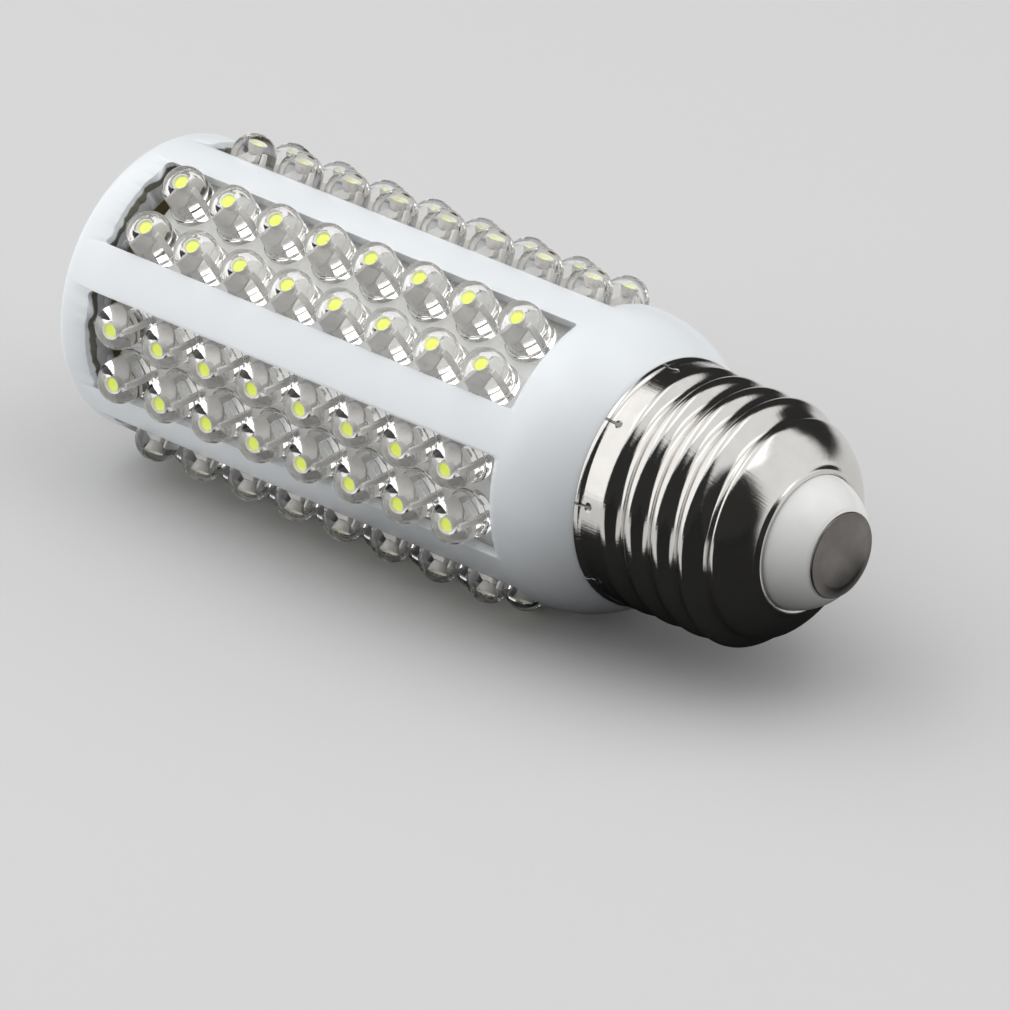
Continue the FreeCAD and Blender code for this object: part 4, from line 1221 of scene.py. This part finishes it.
@dataclass
class Driver:
    """The driver inside, which keeps its CAD shapes."""

    finishes: Mapping[str, Finish] = field(default_factory=lambda: {
        "driver_board": Coated("bare_laminate", (0.50, 0.36, 0.16), 0.55),
        "film_capacitor": Coated("dipped_red", (0.38, 0.04, 0.02), 0.22, lumps=0.3),
        "bulk_capacitor": Coated("shrink_sleeve", (0.02, 0.03, 0.05), 0.28, lumps=0.3),
        "bridge_rectifier": Coated("moulded_black", (0.03, 0.03, 0.03), 0.5),
        "fusible_resistor": BandedLacquer("fuse_lacquer", (0.30, 0.42, 0.46), 0.35, middle=-20.5),
        "bleeder_resistors": BandedLacquer("blue_lacquer", (0.28, 0.45, 0.55), 0.35,
                                           middle=-20.7),
        "live_wire": RED_WIRE,
        "neutral_wire": BLACK_WIRE,
        "feed_wire_left": RED_WIRE,
        "feed_wire_right": BLACK_WIRE,
        "board_links": BARE_WIRE,
        "end_links": BARE_WIRE,
    })

    def build(self) -> None:
        """Dress each part."""
        for node, finish in self.finishes.items():
            dress(node, finish)
            log.info("%s keeps its shape", node)


@dataclass(frozen=True)
class SoftBox:
    """A lamp that faces the object, by its direction in degrees, its size and its radiance."""

    name: str
    side: float
    rise: float
    size: Corner
    radiance: float


@dataclass(frozen=True)
class Flag:
    """A dark card on the floor, by its middle and size."""

    name: str
    middle: Corner
    size: Corner


@dataclass
class Studio:
    """The floor, the lamps, the dark cards that metal reflects, and the camera."""

    floor_colour: Colour = (0.62, 0.62, 0.62)
    floor_size: float = 6000.0
    sky: float = 0.9
    ambient: float = 0.44
    gloom: float = 0.03
    reach: float = 700.0
    boxes: tuple[SoftBox, ...] = (SoftBox("left", -62, 34, (1120, 1090), 1.11),
                                  SoftBox("right", 122, 35, (840, 1090), 0.83),
                                  SoftBox("top", 60, 86, (720, 720), 0.88))
    flags: tuple[Flag, ...] = (Flag("near_flag", (-24, -10), (76, 72)),
                               Flag("front_flag", (1440, -1450), (2900, 2900)))
    cloth: FlagCloth = FlagCloth("flag_cloth", (0.02, 0.02, 0.02), 1.0)
    flag_lift: float = 0.1
    aim: Colour = (-45.39, -1.93, -9.03)
    azimuth: float = 43.626
    elevation: float = 27.903
    roll: float = -1.387
    distance: float = 1111.0
    lens: float = 380.0
    sensor: float = 36.0

    def build(self) -> None:
        """Set up everything that isn't the object."""
        self.floor()
        self.world()
        for box in self.boxes:
            self.hang(box)
        for flag in self.flags:
            self.lay(flag)
        self.camera()

    def floor(self) -> None:
        """A wide plain floor under the object's lowest point."""
        bpy.ops.object.select_all(action="DESELECT")
        height = CAD_BOX[0].z
        bpy.ops.mesh.primitive_plane_add(size=self.floor_size * MM, location=(0, 0, height))
        floor = bpy.context.active_object
        floor.name = "floor"
        floor.data.materials.append(StageColour("pale_floor", self.floor_colour, 0.6).material())

    def world(self) -> None:
        """A pale sky for the eye and glass, softer as light and dim in metal."""
        world = bpy.data.worlds.new("studio")
        bpy.context.scene.world = world
        world.use_nodes = True
        tree = world.node_tree
        tree.nodes.clear()
        paths = tree.nodes.new("ShaderNodeLightPath")
        level = None
        for share, value in ((paths.outputs["Is Glossy Ray"], self.gloom),
                             (paths.outputs["Is Transmission Ray"], self.sky),
                             (paths.outputs["Is Camera Ray"], self.sky)):
            step = tree.nodes.new("ShaderNodeMix")
            step.inputs[2].default_value = self.ambient
            step.inputs[3].default_value = value
            tree.links.new(share, step.inputs[0])
            if level is not None:
                tree.links.new(level, step.inputs[2])
            level = step.outputs[0]
        sky = tree.nodes.new("ShaderNodeBackground")
        tree.links.new(level, sky.inputs["Strength"])
        sky.inputs["Color"].default_value = (1.0, 1.0, 1.0, 1.0)
        out = tree.nodes.new("ShaderNodeOutputWorld")
        tree.links.new(sky.outputs[0], out.inputs["Surface"])

    def hang(self, box: SoftBox) -> None:
        """Hang a soft box that faces the object."""
        data = bpy.data.lights.new(box.name, "AREA")
        data.shape = "RECTANGLE"
        data.size, data.size_y = box.size[0] * MM, box.size[1] * MM
        data.energy = box.radiance * math.pi * data.size * data.size_y
        lamp = bpy.data.objects.new(box.name, data)
        way = toward(box.side, box.rise)
        spot = Matrix.Translation((Vector(self.aim) + way * self.reach) * MM)
        lamp.matrix_world = spot @ way.to_track_quat("Z", "Y").to_matrix().to_4x4()
        lamp.visible_camera = False
        bpy.context.scene.collection.objects.link(lamp)

    def lay(self, flag: Flag) -> None:
        """Lay a dark card on the floor, which the camera and glass don't see."""
        bpy.ops.object.select_all(action="DESELECT")
        height = CAD_BOX[0].z + self.flag_lift * MM
        bpy.ops.mesh.primitive_plane_add(
            size=MM, location=(flag.middle[0] * MM, flag.middle[1] * MM, height))
        card = bpy.context.active_object
        card.name = flag.name
        bpy.ops.transform.resize(value=(*flag.size, 1.0))
        card.data.materials.append(self.cloth.material())
        for way in ("camera", "transmission", "volume_scatter", "shadow"):
            setattr(card, "visible_" + way, False)

    def camera(self) -> None:
        """Stand the camera where the photograph was taken from."""
        data = bpy.data.cameras.new("camera")
        data.lens = self.lens
        data.sensor_width = self.sensor
        data.clip_start = 10 * MM
        data.clip_end = 20.0
        camera = bpy.data.objects.new("camera", data)
        turn, rise = math.radians(self.azimuth), math.radians(self.elevation)
        back = toward(self.azimuth, self.elevation)
        place = Matrix.Translation((Vector(self.aim) + back * self.distance) * MM)
        level = Matrix.Rotation(turn, 4, "Z") @ Matrix.Rotation(math.pi / 2 - rise, 4, "X")
        camera.matrix_world = place @ level @ Matrix.Rotation(math.radians(self.roll), 4, "Z")
        bpy.context.scene.collection.objects.link(camera)
        bpy.context.scene.camera = camera


def corners(box: tuple[Vector, Vector]) -> list[list[float]]:
    """A box's two corners as plain numbers."""
    return [list(corner) for corner in box]


def main() -> None:
    """Build the bulb and its studio in order."""
    logging.basicConfig(level=logging.INFO, format="%(name)s: %(message)s")
    bpy.context.scene.view_settings.view_transform = "Standard"
    Studio().build()
    Cage().build()
    Cap().build()
    leds = LedField()
    leds.build()
    Boards(leds).build()
    Driver().build()


if __name__ == "__main__":
    main()
